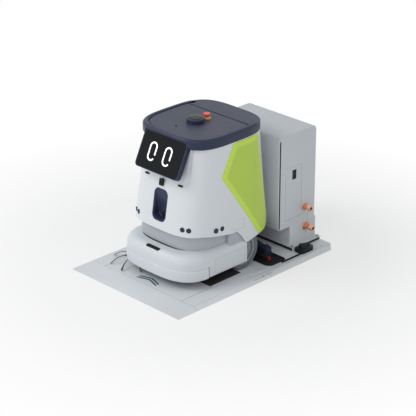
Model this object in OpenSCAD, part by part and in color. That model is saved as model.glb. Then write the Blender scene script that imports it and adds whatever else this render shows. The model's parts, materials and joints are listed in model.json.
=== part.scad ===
// Robotic floor cleaner parked on its service station.
// Origin: centre of the station plate on the floor. +X is the robot's left, -Y is its front, +Z up.

/* [Station plate] */
// Width of the plate
plate_w = 700; // [660:1:840]
// Length of the plate
plate_l = 1025; // [1000:1:1230]
// Height of the flat top
plate_h = 13.2; // [11:0.1:16]
// Length of the front ramp
ramp_l = 115; // [80:1:125]
// Width of each side bevel
bevel_w = 26; // [15:1:32]
// Thickness left at the ramp's edge
edge_t = 1.4; // [1:0.1:3]
// Chamfer of the two rear corners
rear_chamfer = 34; // [15:1:42]
// Width of the squeegee well
well_w = 582; // [480:1:600]
// Length of the squeegee well
well_l = 126; // [105:1:128]
// Depth of the squeegee well
well_d = 9; // [7:0.5:10]
// Front edge of the well behind the robot's centre
well_lead = 145; // [138:1:147]
// Radius of the well's corners
well_r = 32; // [15:1:45]
// Radius of the floor anchor holes
anchor_r = 4.5; // [3:0.1:6]
// Spacing of the anchor holes across the plate
anchor_dx = 616; // [560:1:624]
// Spacing of the anchor holes along the plate
anchor_dy = 400; // [360:1:420]
// Width of each rubber mat
mat_w = 118; // [95:1:130]
// Length of each rubber mat
mat_l = 199; // [160:1:240]
// Thickness of each rubber mat
mat_t = 1.2; // [1:0.1:2]
// Distance of the mats' centre in front of the robot's centre
mat_lead = 83.5; // [70:0.5:95]
// Half-width of the arrow marker
arrow_w = 63; // [45:1:80]

/* [Station cabinet] */
// Width of the cabinet
cab_w = 438; // [400:1:500]
// Length of the cabinet, front to back
cab_l = 250; // [240:1:252]
// Height of the cabinet's cover
cab_h = 456; // [390:1:550]
// Height of the cover's underside above the floor
cab_z = 125; // [120:1:150]
// Distance of the parked robot's centre in front of the cabinet
park_gap = 286.5; // [285:0.5:292]
// Sheet thickness of the cabinet
cab_t = 3; // [2:0.1:4]
// Radius of the cabinet's edges
cab_r = 16; // [8:1:24]
// Length of the plinth, front to back
plinth_l = 176; // [150:1:178]
// Height of the service door
door_h = 257; // [215:1:310]
// Width of the service door
door_w = 110; // [95:1:118]
// Gap around every door and flap
door_gap = 1; // [0.8:0.1:2]
// Height of the water inlet's axis
inlet_z = 197; // [170:1:230]
// Height of the drain outlet's axis
drain_z = 95; // [85:1:98]
// Thread radius of the inlet and the drain
port_r = 13; // [10:0.1:15]
// Length of the free thread of the inlet and the drain
port_l = 22; // [16:1:30]

/* [Robot body] */
// Greatest width of the body shell
shell_w = 468; // [460:1:476]
// Length of the body shell at its widest level
shell_l = 543; // [535:1:550]
// Height of the shell's widest level above the station plate
shell_z = 237; // [230:1:250]
// Height of the body shell's top edge
shell_top = 638; // [600:1:700]
// Wall of the body shell
shell_t = 4; // [3:0.1:5]
// Width of the top rim
rim_w = 440; // [430:1:446]
// Length of the top rim
rim_l = 464; // [455:1:470]
// Height of the top rim
rim_h = 47; // [40:1:54]
// Depth of the top panel below the rim
panel_drop = 5; // [3:0.5:8]
// Inset of the top panel from the rim's outside
panel_inset = 24; // [20:1:28]
// Line where the rear lid starts, from the body's centre
lid_y = 107; // [100:1:112]
// Line where the lid's share of the rim starts
lid_rim_y = 140; // [130:1:150]
// Thickness of the raised side panels
side_t = 8.5; // [6:0.5:11]

/* [Robot deck] */
// Width of the lower deck
deck_w = 466; // [460:1:474]
// Front of the lower deck, ahead of the body's centre
deck_front = 327; // [320:1:332]
// Rear end of the deck's side walls
deck_rear = 59; // [55:1:62]
// Underside of the deck
deck_z = 42; // [38:1:46]
// Height of the deck's top
deck_top = 161; // [156:1:168]
// Wall of the deck
deck_t = 3; // [2.5:0.1:4]
// Top edge of the bumper
bumper_top = 92; // [80:1:98]
// Travel of the bumper when pressed
bumper_travel = 5; // [3:0.5:7]
// Thickness of the chassis plate
chassis_t = 6; // [5:0.5:8]

/* [Running gear] */
// Radius of the drive wheels
wheel_r = 92; // [86:1:94]
// Width of the drive wheels
wheel_w = 44; // [36:1:46]
// Drive axle's place behind the body's centre
wheel_y = 53; // [50:1:56]
// Radius of the drive axles
axle_r = 9; // [7:0.5:11]
// Radius of the caster wheel
caster_r = 32; // [27:1:33]
// Radius of the roller brush
roller_r = 42; // [38:1:44]
// Length of the roller brush
roller_l = 330; // [276:1:332]
// Reach of the side brush
side_brush_r = 124; // [104:1:140]
// Distance of the side brush's axis from the middle
side_brush_x = 182; // [176:1:184]
// Travel of the roller's deck and of the squeegee
lift = 12; // [10:1:14]
// Radial clearance of every shaft in its hole
fit_c = 0.05; // [0.02:0.01:0.09]
// Gap between pieces that lie against each other
seat_c = 0.3; // [0.2:0.05:0.4]

/* [Display and controls] */
// Width of the display's housing
disp_w = 270; // [240:1:290]
// Height of the display's face along its slope
disp_h = 172; // [150:1:178]
// Depth of the display's housing
disp_d = 24; // [18:1:28]
// Lean of the display's face
disp_tilt = 25.4; // [20:0.1:30]
// Width of the housing's border round the glass
disp_border = 5; // [3:0.5:9]
// Radius of the rotating sensor on top
lidar_r = 42; // [34:1:50]
// Radius of the stop button's mushroom head
estop_r = 16.5; // [14:0.5:20]
// Radius of each round distance sensor
sonar_r = 11.5; // [9:0.5:13]

/* [Hidden] */
$fn = 64;

// Where the cabinet, the robot and the well stand, from the plate's front edge
cab_y0 = plate_l - cab_l - 1.5;
park_y = cab_y0 - park_gap;
well_y = park_y + well_lead;
robot_y = park_y - plate_l / 2;
robot_z = plate_h + seat_c;
mat_x = 179;
// Plan exponents: how square the rounded outlines are
shell_n = 3.6;
rim_n = 3.6;
deck_n = 3.1;
// Shell outlines: [half width, half length, centre y] at the widest level and at the top
low_o = [shell_w / 2, shell_l / 2, -6.5];
top_o = [rim_w / 2 - 5, rim_l / 2 - 10.5, 8.5];
shell_low = 131;
rim_top = shell_top + rim_h;
panel_z = rim_top - panel_drop;
front_slope = (low_o[1] - low_o[2] - top_o[1] + top_o[2]) / (shell_top - shell_z);
front_tilt = atan(front_slope);
side_slope = (low_o[0] - top_o[0]) / (shell_top - shell_z);
side_tilt = atan(side_slope);
chassis_z = deck_top - 27;
deck_hw = deck_w / 2;
deck_cy = -150;
deck_wall = deck_top - 43 - deck_z;
door_x = deck_hw;
brush_door_y0 = -143;
brush_door_y1 = 46;
brush_door_z0 = 48;
brush_door_z1 = 120;
wheel_x = 220;
hub_t = wheel_w - 6;
roller_y = -58;
roller_z = roller_r + 1;
caster_y = -165;
side_brush_y = -244;
squeegee_y = 249;
lidar_y = -37;
estop_y = 33;
estop_stem_r = 8;
brush_shaft_r = 6;
guide_w = 14;
squeegee_post = [70, 88];
brush_post = 80;
estop_travel = 4;
button_pos = [-28, -130];
button_r = 5.5;
lid_axis_y = rim_l / 2 + 9;
lid_axis_z = shell_top - 6;
lid_pin_r = 3;
disp_pos = [0, -250, shell_top - 51];
glass_t = 1.2;
recess_w = 86;
recess_h = 151;
recess_z = 348;
camera_z = disp_pos[2] - 133;
lights_z = disp_pos[2] - 119;
lights_x = 105;
flap_y0 = -30;
flap_y1 = 38;
flap_z0 = 222;
flap_h = 42;
flap_t = 3;
flap_z1 = flap_z0 + flap_h;
plinth_y0 = plate_l - plinth_l - 3;
port_x = cab_w / 2;
inlet_y = plate_l - 80;
drain_y = plate_l - 70;
flange_w = 510;
flange_t = 3;
flange_z = plate_h + 15;
door_y0 = cab_y0 + 38;
door_z0 = cab_z + 38;

// Height-dependent half outline of the shell: [half width, half length, centre y]
function level(z, o = 0) =
    let (f = min(1, max(0, (z - shell_z) / (shell_top - shell_z))))
    [low_o[0] + (top_o[0] - low_o[0]) * f + o, low_o[1] + (top_o[1] - low_o[1]) * f + o,
     low_o[2] + (top_o[2] - low_o[2]) * f];
function front_y(z) = level(z)[2] - level(z)[1];
function side_x(z) = level(z)[0];
// Superellipse outline
function oval(hx, hy, n, steps = 96) = [for (i = [0:steps - 1])
    let (a = 360 * (i + 0.5) / steps, c = cos(a), s = sin(a))
    [hx * sign(c) * pow(abs(c), 2 / n), hy * sign(s) * pow(abs(s), 2 / n)]];
// Rounded rectangle outline centred on the origin
function rounded(w, h, r, k = 8) = [for (q = [0:3]) for (i = [0:k])
    let (a = 90 * q + 90 * i / k, sx = (q == 0 || q == 3) ? 1 : -1, sy = q < 2 ? 1 : -1)
    [sx * (w / 2 - r) + r * cos(a), sy * (h / 2 - r) + r * sin(a)]];
// Deck outline: a squared oval front that runs into straight sides
function deck_plan(o, rear) = concat(
    [for (i = [0:48]) let (a = 180 + 180 * i / 48, c = cos(a), s = sin(a))
        [(deck_hw + o) * sign(c) * pow(abs(c), 2 / deck_n),
         deck_cy + (deck_front + deck_cy + o) * sign(s) * pow(abs(s), 2 / deck_n)]],
    [[deck_hw + o, rear], [-deck_hw - o, rear]]);

module at_robot() { translate([0, robot_y, robot_z]) children(); }
module at_plate() { translate([0, -plate_l / 2, 0]) children(); }
module slab(z, points, t = 0.5) { translate([0, 0, z]) linear_extrude(t) polygon(points); }
module both() { for (s = [-1, 1]) scale_x(s) children(); }
module scale_x(s) { if (s > 0) children(); else mirror([1, 0, 0]) children(); }
// Extrudes a (y, z) outline along X between two planes
module along_x(x0, x1) {
    translate([x0, 0, 0]) rotate([90, 0, 90]) linear_extrude(x1 - x0) children();
}
// Extrudes an (x, z) outline along Y between two planes
module along_y(y0, y1) {
    translate([0, y1, 0]) rotate([90, 0, 0]) linear_extrude(y1 - y0) children();
}
module rod_x(x0, x1, r) { translate([x0, 0, 0]) rotate([0, 90, 0]) cylinder(r = r, h = x1 - x0); }
module box(lo, hi) { translate(lo) cube(hi - lo); }
// Moves children to the display's face: local +Z points out of the glass, +Y up the face
module at_display() { translate(disp_pos) rotate([90 - disp_tilt, 0, 0]) children(); }
// Moves children to the shell's front face at a height
module at_front(z) { translate([0, front_y(z), z]) rotate([90 - front_tilt, 0, 0]) children(); }

// ---- Station ----

module dock_base_plate() {
    wedge = [[0, 0], [plate_l, 0], [plate_l, plate_h], [ramp_l, plate_h], [0, edge_t]];
    half = plate_w / 2;
    section = [[-half, 0], [half, 0], [half, edge_t], [half - bevel_w, plate_h],
               [bevel_w - half, plate_h], [-half, edge_t]];
    color("gainsboro") at_plate() difference() {
        intersection() {
            along_x(-half, half) polygon(wedge);
            along_y(0, plate_l) polygon(section);
        }
        translate([0, well_y + well_l / 2, plate_h - well_d]) linear_extrude(plate_h)
            polygon(rounded(well_w, well_l, well_r));
        for (s = [-1, 1]) {
            translate([s * half, plate_l, -1]) rotate(45)
                cube([rear_chamfer * sqrt(2), rear_chamfer * sqrt(2), 3 * plate_h], center = true);
            translate([s * mat_x, park_y - mat_lead, plate_h - mat_t]) linear_extrude(plate_h)
                square([mat_w + 0.4, mat_l + 0.4], center = true);
            for (y = [0, anchor_dy]) translate([s * anchor_dx / 2, plate_l - anchor_dy - 55 + y, -1])
                cylinder(r = anchor_r, h = plate_h + 2);
        }
    }
}

module dock_mats() {
    color("#202022") at_plate() for (s = [-1, 1])
        translate([s * mat_x, park_y - mat_lead, plate_h - mat_t]) linear_extrude(mat_t)
            square([mat_w, mat_l], center = true);
}

module dock_arrow_marker() {
    bar = [[-arrow_w, 0], [0, 20], [arrow_w, 0], [arrow_w, 9], [0, 29], [-arrow_w, 9]];
    color("#24556b") at_plate() for (y = [134, 150])
        translate([0, y, plate_h]) linear_extrude(0.2) polygon(bar);
}

module dock_plinth() {
    y1 = plinth_y0 + plinth_l;
    w = cab_w / 2;
    color("#c4cacf") at_plate() difference() {
        union() {
            box([-w, plinth_y0, flange_z], [w, y1, cab_z]);
            box([-flange_w / 2, plinth_y0 - 16, flange_z], [flange_w / 2, y1, flange_z + flange_t]);
            box([flange_w / 2 - 5, plinth_y0 - 16, plate_h], [flange_w / 2, plinth_y0 - 2, flange_z + 1]);
        }
        box([-w + cab_t, plinth_y0 + cab_t, plate_h], [w - cab_t, y1 - cab_t, cab_z - cab_t]);
        translate([0, drain_y, drain_z]) rod_x(w - 20, w + 1, port_r - 3);
        for (x = [-1, 1], y = [plinth_y0 - 8, y1 - 10])
            translate([x * (flange_w / 2 - 11), y, plate_h]) cylinder(r = 4.2, h = 40);
    }
}

module dock_seal_frame() {
    y0 = plinth_y0 - 14;
    y1 = plinth_y0 + plinth_l;
    w = flange_w / 2 - 5.5;
    color("#1c1c1e") at_plate() difference() {
        box([-w, y0, plate_h], [w, y1, flange_z]);
        box([-w + 30, y0 + 18, plate_h - 1], [w - 30, y1 - 18, flange_z + 1]);
        for (x = [-1, 1], y = [plinth_y0 - 8, y1 - 10])
            translate([x * (flange_w / 2 - 11), y, plate_h - 1]) cylinder(r = 4.2, h = 40);
    }
}

module dock_cabinet() {
    w = cab_w / 2;
    y1 = cab_y0 + cab_l;
    yc = cab_y0 + cab_l / 2;
    z1 = cab_z + cab_h;
    color("#c6ccd0") at_plate() difference() {
        translate([0, yc, 0]) hull() {
            slab(cab_z, rounded(cab_w, cab_l, cab_r), cab_h - cab_r);
            slab(z1 - cab_r * 0.3, rounded(cab_w - cab_r * 0.6, cab_l - cab_r * 0.6, cab_r * 0.75), 0.2);
            slab(z1 - 0.2, rounded(cab_w - cab_r * 1.8, cab_l - cab_r * 1.8, cab_r * 0.5), 0.2);
        }
        box([-w + cab_t, cab_y0 + cab_t, cab_z + cab_t], [w - cab_t, y1 - cab_t, z1 - cab_r]);
        translate([w - cab_t - 1, door_y0 + door_w / 2, door_z0 + door_h / 2]) rotate([90, 0, 90])
            linear_extrude(cab_t + 2) polygon(rounded(door_w + 2 * door_gap, door_h + 2 * door_gap, 11));
        translate([0, inlet_y, inlet_z]) rod_x(w - 20, w + 1, port_r - 3);
    }
}

module dock_service_door() {
    w = cab_w / 2;
    color("#c2c8cd") at_plate() difference() {
        translate([w - cab_t, door_y0 + door_w / 2, door_z0 + door_h / 2]) rotate([90, 0, 90])
            linear_extrude(cab_t) polygon(rounded(door_w, door_h, 10));
        translate([w, door_y0 + 58, door_z0 + 218]) cube([2.4, 27, 47], center = true);
    }
}

module dock_door_pull() {
    color("#2c3035") at_plate() translate([cab_w / 2 - 1.2, door_y0 + 58, door_z0 + 218]) difference() {
        translate([0, -13.3, -23.3]) cube([1.2, 26.6, 46.6]);
        translate([0.4, -8, -16]) cube([2, 16, 32]);
    }
}

// A hose connector: flange, hexagon and free thread, along +X from the wall
module hose_fitting(flange_r, hex_r, hex_l, collar_l) {
    difference() {
        union() {
            rod_x(0, 3, flange_r);
            translate([3, 0, 0]) rotate([0, 90, 0]) cylinder(r = hex_r, h = hex_l, $fn = 6);
            rod_x(2, 3 + hex_l + collar_l, port_r - 1.5);
            rod_x(3 + hex_l + collar_l, 3 + hex_l + collar_l + port_l, port_r);
            rod_x(1 - 16, 1, port_r - 3 - fit_c);
        }
        rod_x(-20, 120, port_r - 5.5);
    }
}

module dock_inlet_fitting() {
    color("#d9a08c") at_plate() translate([port_x, inlet_y, inlet_z])
        hose_fitting(port_r + 4, port_r + 3.5, 9, 8);
}

module dock_drain_fitting() {
    color("#d9a08c") at_plate() translate([port_x, drain_y, drain_z])
        hose_fitting(port_r + 7, port_r + 5, 12, 12);
}

module dock_cap_chain() {
    reach = sqrt(pow(port_r - 1.5, 2) - pow((drain_y - inlet_y) / 2, 2)) + 0.2;
    bottom = drain_z + reach;
    top = inlet_z - reach;
    beads = floor((top - bottom) / 6);
    color("silver") at_plate() translate([port_x + 17.5, (inlet_y + drain_y) / 2, bottom]) {
        cylinder(r = 0.6, h = top - bottom, $fn = 16);
        for (i = [1:beads - 1]) translate([0, 0, (top - bottom) / beads * i]) sphere(r = 1.5, $fn = 16);
    }
}

module dock_charge_head() {
    color("#2b2e33") at_plate() union() {
        box([-60, cab_y0 - 20, 190], [60, cab_y0 - seat_c, 250]);
        for (x = [-28, 28]) box([x - 8, cab_y0 - 21.7, 200], [x + 8, cab_y0 - 18, 240]);
    }
}

module dock_hose_block() {
    x0 = flange_w / 2 + 1;
    color("#1e1f22") at_plate() union() {
        translate([x0 + 26, plinth_y0 + 32, plate_h]) linear_extrude(20) polygon(rounded(52, 84, 12));
        translate([x0 + 26, plinth_y0 + 22, plate_h + 18]) cylinder(r = 19, h = 14);
        translate([x0 + 26, plinth_y0 + 56, plate_h + 18]) cylinder(r = 11, h = 8);
        box([x0 + 40, plinth_y0 - 138, plate_h], [x0 + 47, plinth_y0 + 10, plate_h + 5]);
    }
}

module dock_bolts() {
    y1 = plinth_y0 + plinth_l;
    color("#8b9096") at_plate() for (x = [-1, 1], y = [plinth_y0 - 8, y1 - 10])
        translate([x * (flange_w / 2 - 11), y, plate_h + 2]) {
            cylinder(r = 4.1, h = flange_z + flange_t - plate_h - 2);
            translate([0, 0, flange_z + flange_t - plate_h - 2]) cylinder(r = 7.5, h = 1.4);
            translate([0, 0, flange_z + flange_t - plate_h - 0.6]) cylinder(r = 6.4, h = 5, $fn = 6);
        }
}

// ---- Robot structure ----

module chassis_plate() {
    color("#5a5f66") at_robot() difference() {
        union() {
            translate([0, 0, chassis_z]) linear_extrude(chassis_t)
                polygon([for (p = oval(196, 265, 4)) p + [0, -20]]);
            for (x = [-150, 150], y = [-190, 215]) translate([x, y, chassis_z])
                cylinder(r = 9, h = shell_z + 1 - chassis_z);
            box([-150, 118, chassis_z], [150, 124, chassis_z + 60]);
            both() box([squeegee_post[0] - seat_c - guide_w, 212, 64], [squeegee_post[0] - seat_c, 240, chassis_z]);
            both() box([brush_post - 14 - seat_c - guide_w, roller_y - 12, 107],
                       [brush_post - 14 - seat_c, roller_y + 12, chassis_z]);
            translate([4 - side_brush_x, side_brush_y, 60]) cylinder(r = 24, h = chassis_z - 59);
            translate([-side_brush_x, side_brush_y, 40]) cylinder(r = brush_shaft_r, h = 30);
            box([10 - side_brush_x, side_brush_y, chassis_z - 4], [-150, side_brush_y + 60, chassis_z + 1]);
        }
        both() box([wheel_x - wheel_w - 10, wheel_y - wheel_r - 9, 0], [260, wheel_y + wheel_r + 9, 300]);
        translate([0, caster_y, 0]) cylinder(r = 10 + fit_c, h = 300);
    }
}

module neck_cover() {
    rear = -32;
    hw = 203;
    color("#c8ccd0") at_robot() difference() {
        union() {
            translate([0, 0, deck_top + seat_c]) linear_extrude(shell_z + 1 - deck_top - seat_c) intersection() {
                polygon([for (p = oval(hw, 190, 3.4)) p + [0, -64]]);
                translate([-hw, -300]) square([2 * hw, 300 + rear]);
            }
            translate([0, 0, shell_z + 1]) linear_extrude(3) polygon(
                [for (p = oval(level(shell_z)[0] - shell_t - 0.9, level(shell_z)[1] - shell_t - 0.9, shell_n))
                 p + [0, level(shell_z)[2]]]);
        }
        translate([0, 0, deck_top - 10]) linear_extrude(shell_z + 1 - deck_top + 10) intersection() {
            polygon([for (p = oval(hw - 3, 187, 3.4)) p + [0, -64]]);
            translate([-hw, -300]) square([2 * hw, 700]);
        }
        translate([0, 5, shell_z]) linear_extrude(10) polygon(rounded(340, 430, 30));
        both() box([wheel_x - wheel_w - 10, wheel_y - wheel_r - 9, 0], [260, wheel_y + wheel_r + 9, 232]);
        box([190, flap_y0 - 6, shell_z - 10], [260, flap_y1 + 6, shell_z + 10]);
    }
}

module lower_deck() {
    color("#d3d9dc") at_robot() difference() {
        hull() {
            slab(deck_z, deck_plan(0, deck_rear), deck_wall);
            slab(deck_top - 25, deck_plan(-4, deck_rear));
            slab(deck_top - 14, deck_plan(-12, deck_rear));
            slab(deck_top - 7, deck_plan(-24, deck_rear));
            slab(deck_top - 0.5, [for (p = deck_plan(-30, deck_rear)) [p[0], max(p[1], -268)]]);
        }
        hull() {
            slab(deck_z - 1, deck_plan(-deck_t, deck_rear + 1), deck_wall);
            slab(deck_top - 25 - deck_t, deck_plan(-4 - deck_t, deck_rear + 1));
            slab(deck_top - 14 - deck_t, deck_plan(-12 - deck_t, deck_rear + 1));
            slab(deck_top - 0.5 - deck_t, deck_plan(-34, deck_rear + 1));
        }
        // room for the bumper
        translate([0, 0, deck_z - 1]) linear_extrude(bumper_top + seat_c - deck_z + 1)
            intersection() {
                polygon(deck_plan(20, -170));
                translate([-300, -400]) square([600, 400 - 182 + bumper_travel + 1]);
            }
        // openings for the brush doors
        both() translate([door_x - 12, (brush_door_y0 + brush_door_y1) / 2,
                (brush_door_z0 + brush_door_z1) / 2]) rotate([90, 0, 90]) linear_extrude(20)
            polygon(rounded(brush_door_y1 - brush_door_y0 + 2 * door_gap,
                            brush_door_z1 - brush_door_z0 + 2 * door_gap, 7));
        // slot of the line sensor
        translate([0, -303, 100]) linear_extrude(80)
            polygon(rounded(86.5, 17.5, 8.5));
        // the neck's inside and the wheels
        translate([0, -70, deck_top - 20]) linear_extrude(40) polygon(rounded(380, 300, 40));
        translate([0, wheel_y, wheel_r]) rod_x(-wheel_x - 1, wheel_x + 1, wheel_r + 8);
    }
}

module front_bumper() {
    color("#cfd4d8") at_robot() difference() {
        translate([0, 0, deck_z - 3]) linear_extrude(bumper_top - deck_z + 3) difference() {
            intersection() {
                polygon(deck_plan(4, -160));
                translate([-300, -400]) square([600, 400 - 182]);
            }
            polygon(deck_plan(-6, 0));
        }
        translate([0, -deck_front + 2, deck_z + 14]) cube([120, 14, 3], center = true);
    }
}

module shell_loft(o, z0, z1) {
    hull() {
        slab(z0, [for (p = oval(level(shell_z, o)[0], level(shell_z, o)[1], shell_n)) p + [0, low_o[2]]], 0.2);
        slab(shell_z, [for (p = oval(level(shell_z, o)[0], level(shell_z, o)[1], shell_n)) p + [0, low_o[2]]], 0.2);
        slab(z1 - 0.2, [for (p = oval(level(z1, o)[0], level(z1, o)[1], rim_n)) p + [0, level(z1)[2]]], 0.2);
    }
}

// The side view of the shell's lower edge, as the region to cut away
function skirt(y) = y < -9 ? 210 + 27 * min(1, max(0, (-41 - y) / 160))
    : y < 62 ? 210 - 73 * (0.5 - 0.5 * cos(180 * (y + 9) / 71))
    : 137 + 26 * min(1, (y - 62) / 170);

module skirt_cut() {
    along_x(-300, 300) polygon(concat(
        [for (y = [-300:10:-50]) [y, skirt(y)]], [for (y = [-41:5:64]) [y, skirt(y)]],
        [[232, 163], [300, 163], [300, 60], [-300, 60]]));
}

module flap_outline(g) {
    translate([(flap_y0 + flap_y1) / 2, 0]) polygon([for (p = rounded(flap_y1 - flap_y0 + 2 * g,
        flap_h + 2 * g, 8)) p + [0, -flap_h / 2]]);
}

// Moves children to the port flap's upper edge on the left side: local x runs along +Y, y up the side
module at_flap() {
    translate([side_x(flap_z1), 0, flap_z1]) rotate([0, -side_tilt, 0]) rotate([90, 0, 90]) children();
}

// Places of the round distance sensors: [x, y, z, direction in plan]
sonars = [for (x = [141, 168]) [x, front_y(270) + (x == 141 ? 13 : 26), 270, x == 141 ? -74 : -66],
          [low_o[0] - 2, -136, 254, 0], [low_o[0] - 1.6, -100, 254, 0]];

module at_sonars() {
    both() for (p = sonars) translate([p[0], p[1], p[2]]) rotate([0, 90, p[3]]) children();
}

module body_shell() {
    color("#dfe3e6") at_robot() difference() {
        shell_loft(0, shell_low, shell_top);
        shell_loft(-shell_t, shell_low - 1, shell_top + 1);
        skirt_cut();
        at_flap() translate([0, 0, -8]) linear_extrude(16) flap_outline(door_gap);
        at_sonars() translate([0, 0, -25]) cylinder(r = sonar_r + fit_c, h = 50);
        at_front(recess_z) translate([0, 0, -10]) linear_extrude(30)
            polygon(rounded(recess_w + 0.6, recess_h + 0.6, 28.3));
        at_display() translate([0, 0, -disp_d - seat_c]) linear_extrude(80)
            polygon(rounded(disp_w + 0.6, disp_h + 0.6, 18.3));
        for (s = [-1, 1]) at_front(lights_z) translate([s * lights_x, -4, -10]) linear_extrude(30)
            polygon(rounded(26.6, 8.6, 4.2));
        box([-52, 200, 183], [52, 300, 231]);
    }
}

// Outer form of the rim and of the rear lid, with a rounded top edge
module rim_form() {
    a = rim_w / 2;
    b = rim_l / 2;
    hull() {
        slab(shell_top + seat_c, oval(a - 1.5, b - 1.5, rim_n), 0.2);
        slab(shell_top + 8, oval(a, b, rim_n), rim_h - 26);
        slab(rim_top - 8, oval(a - 3, b - 3, rim_n), 0.2);
        slab(rim_top - 2.5, oval(a - 7, b - 7, rim_n), 0.2);
        slab(rim_top - 0.2, oval(a - 13, b - 13, rim_n), 0.2);
    }
}

module top_rim() {
    a = rim_w / 2;
    b = rim_l / 2;
    color("#2a3048") at_robot() difference() {
        rim_form();
        slab(panel_z - 4.3, oval(a - panel_inset + 2, b - panel_inset + 2, rim_n), 40);
        slab(shell_top - 1, oval(a - panel_inset - 9, b - panel_inset - 9, rim_n), 60);
        box([-300, lid_rim_y, 0], [300, 300, 1000]);
        at_display() translate([0, 0, -disp_d - seat_c]) linear_extrude(100)
            polygon(rounded(disp_w + 0.6, disp_h + 0.6, 18.3));
    }
}

module top_panel() {
    color("#505565") at_robot() difference() {
        slab(panel_z - 4, oval(rim_w / 2 - panel_inset + 0.6, rim_l / 2 - panel_inset + 0.6, rim_n), 4);
        box([-300, lid_y - 1, 0], [300, 300, 1000]);
        translate([0, estop_y, 0]) cylinder(r = estop_stem_r + 1.5, h = 1000);
        translate([0, lidar_y, 0]) cylinder(r = 6, h = 1000);
        translate([button_pos[0], button_pos[1], 0]) cylinder(r = button_r + fit_c, h = 1000);
    }
}

module rear_lid() {
    a = rim_w / 2;
    b = rim_l / 2;
    color("#4c5162") at_robot() difference() {
        union() {
            intersection() {
                hull() {
                    slab(shell_top + seat_c, oval(a - 1.5, b - 1.5, rim_n), 0.2);
                    slab(shell_top + 8, oval(a, b, rim_n), panel_z - shell_top - 20);
                    slab(panel_z - 4, oval(a - 3, b - 3, rim_n), 0.2);
                    slab(panel_z - 0.2, oval(a - 9, b - 9, rim_n), 0.2);
                }
                box([-300, lid_rim_y + 0.5, 0], [300, 300, 1000]);
            }
            intersection() {
                slab(panel_z - 4, oval(a - panel_inset + 1.2, b - panel_inset + 1.2, rim_n), 4);
                box([-300, lid_y, 0], [300, lid_rim_y + 8, 1000]);
            }
            for (x = [-90, 90]) translate([0, lid_axis_y, lid_axis_z]) {
                rod_x(x - 10, x + 10, 7);
                box([x - 10, -14, 7.5], [x + 10, 3, 18]);
                box([x - 10, -4, 2], [x + 10, 4, 10]);
            }
        }
        intersection() {
            slab(shell_top - 1, oval(a - 10, b - 10, rim_n), panel_z - 4 - shell_top + 1);
            box([-300, 0, 0], [300, 300, 1000]);
        }
        translate([0, lid_axis_y, lid_axis_z]) rod_x(-130, 130, lid_pin_r + fit_c);
    }
}

module lid_hinge() {
    back = level(lid_axis_z - 34)[2] + level(lid_axis_z - 34)[1] + 2 * seat_c;
    color("#3a3d44") at_robot() for (x = [-90, 90]) {
        translate([0, lid_axis_y, lid_axis_z]) {
            rod_x(x - 26, x + 26, lid_pin_r);
            for (s = [-1, 1]) rod_x(x + s * 18.5 - 8, x + s * 18.5 + 8, 6.5);
        }
        for (s = [-1, 1]) box([x + s * 18.5 - 8, back, lid_axis_z - 34],
            [x + s * 18.5 + 8, lid_axis_y + 3, lid_axis_z - 3]);
        box([x - 26.5, back, lid_axis_z - 34], [x + 26.5, back + 3, lid_axis_z - 12]);
    }
}

// ---- Controls and sensors ----

module lidar_base() {
    color("#30364e") at_robot() translate([0, lidar_y, panel_z]) difference() {
        union() {
            cylinder(r = lidar_r, h = 7);
            translate([0, 0, 7]) cylinder(r = lidar_r - 6, h = 2);
            translate([0, 0, -4]) cylinder(r = 5.9, h = 5);
        }
        translate([0, 0, 1]) cylinder(r = 4 + fit_c, h = 20);
    }
}

module lidar_head() {
    color("#23262e") at_robot() translate([0, lidar_y, panel_z]) {
        translate([0, 0, 9.4]) cylinder(r = lidar_r, h = 11);
        translate([0, 0, 20.4]) cylinder(r1 = lidar_r, r2 = lidar_r - 2.5, h = 2.6);
        translate([0, 0, 2]) cylinder(r = 4, h = 8);
    }
}

module estop_collar() {
    color("#d8b84a") at_robot() translate([0, estop_y, panel_z]) difference() {
        union() {
            cylinder(r = 20, h = 3);
            cylinder(r = 13, h = 8);
            translate([0, 0, -20]) cylinder(r = estop_stem_r + 1.4, h = 21);
        }
        translate([0, 0, -30]) cylinder(r = estop_stem_r + fit_c, h = 60);
    }
}

module estop_button() {
    color("#e33b33") at_robot() translate([0, estop_y, panel_z]) rotate_extrude() polygon(concat(
        [[0, -16], [estop_stem_r, -16], [estop_stem_r, 12.6], [estop_r, 12.6], [estop_r, 19]],
        [for (i = [1:6]) [estop_r - 4.5 * (1 - cos(15 * i)), 19 + 4.5 * sin(15 * i)]], [[0, 24]]));
}

module panel_button() {
    color("#17181b") at_robot() translate([button_pos[0], button_pos[1], panel_z - 6]) {
        cylinder(r = button_r, h = 8);
        translate([0, 0, -3]) cylinder(r = button_r + 2, h = 4.6);
    }
}

module display_housing() {
    yb = function (z) disp_pos[1] + (z - disp_pos[2]) * tan(disp_tilt) + disp_d / cos(disp_tilt);
    z0 = disp_pos[2] - 70;
    z1 = disp_pos[2] + 8;
    color("#2c3350") at_robot() difference() {
        union() {
            at_display() translate([0, 0, -disp_d]) linear_extrude(disp_d)
                polygon(rounded(disp_w, disp_h, 18));
            along_x(-100, 100) polygon([[yb(z0) - 3, z0], [front_y(z0) - seat_c, z0],
                [front_y(z1) - seat_c, z1], [yb(z1) - 3, z1]]);
        }
        at_display() translate([0, 0, -glass_t]) linear_extrude(5)
            polygon(rounded(disp_w - 2 * disp_border, disp_h - 2 * disp_border, 15));
    }
}

module display_glass() {
    color("#17191c") at_robot() at_display() translate([0, 0, -glass_t]) linear_extrude(glass_t)
        polygon(rounded(disp_w - 2 * disp_border - 0.4, disp_h - 2 * disp_border - 0.4, 14.8));
}

// Two tall oval outlines, each open at its lower right
module display_eyes() {
    color("white") at_robot() at_display() for (x = [-54, 40]) translate([x, -1, 0.05])
        linear_extrude(0.4) difference() {
            polygon(rounded(45, 87, 21));
            polygon(rounded(31, 73, 14.5));
            translate([8, -36]) square([30, 11]);
        }
}

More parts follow.
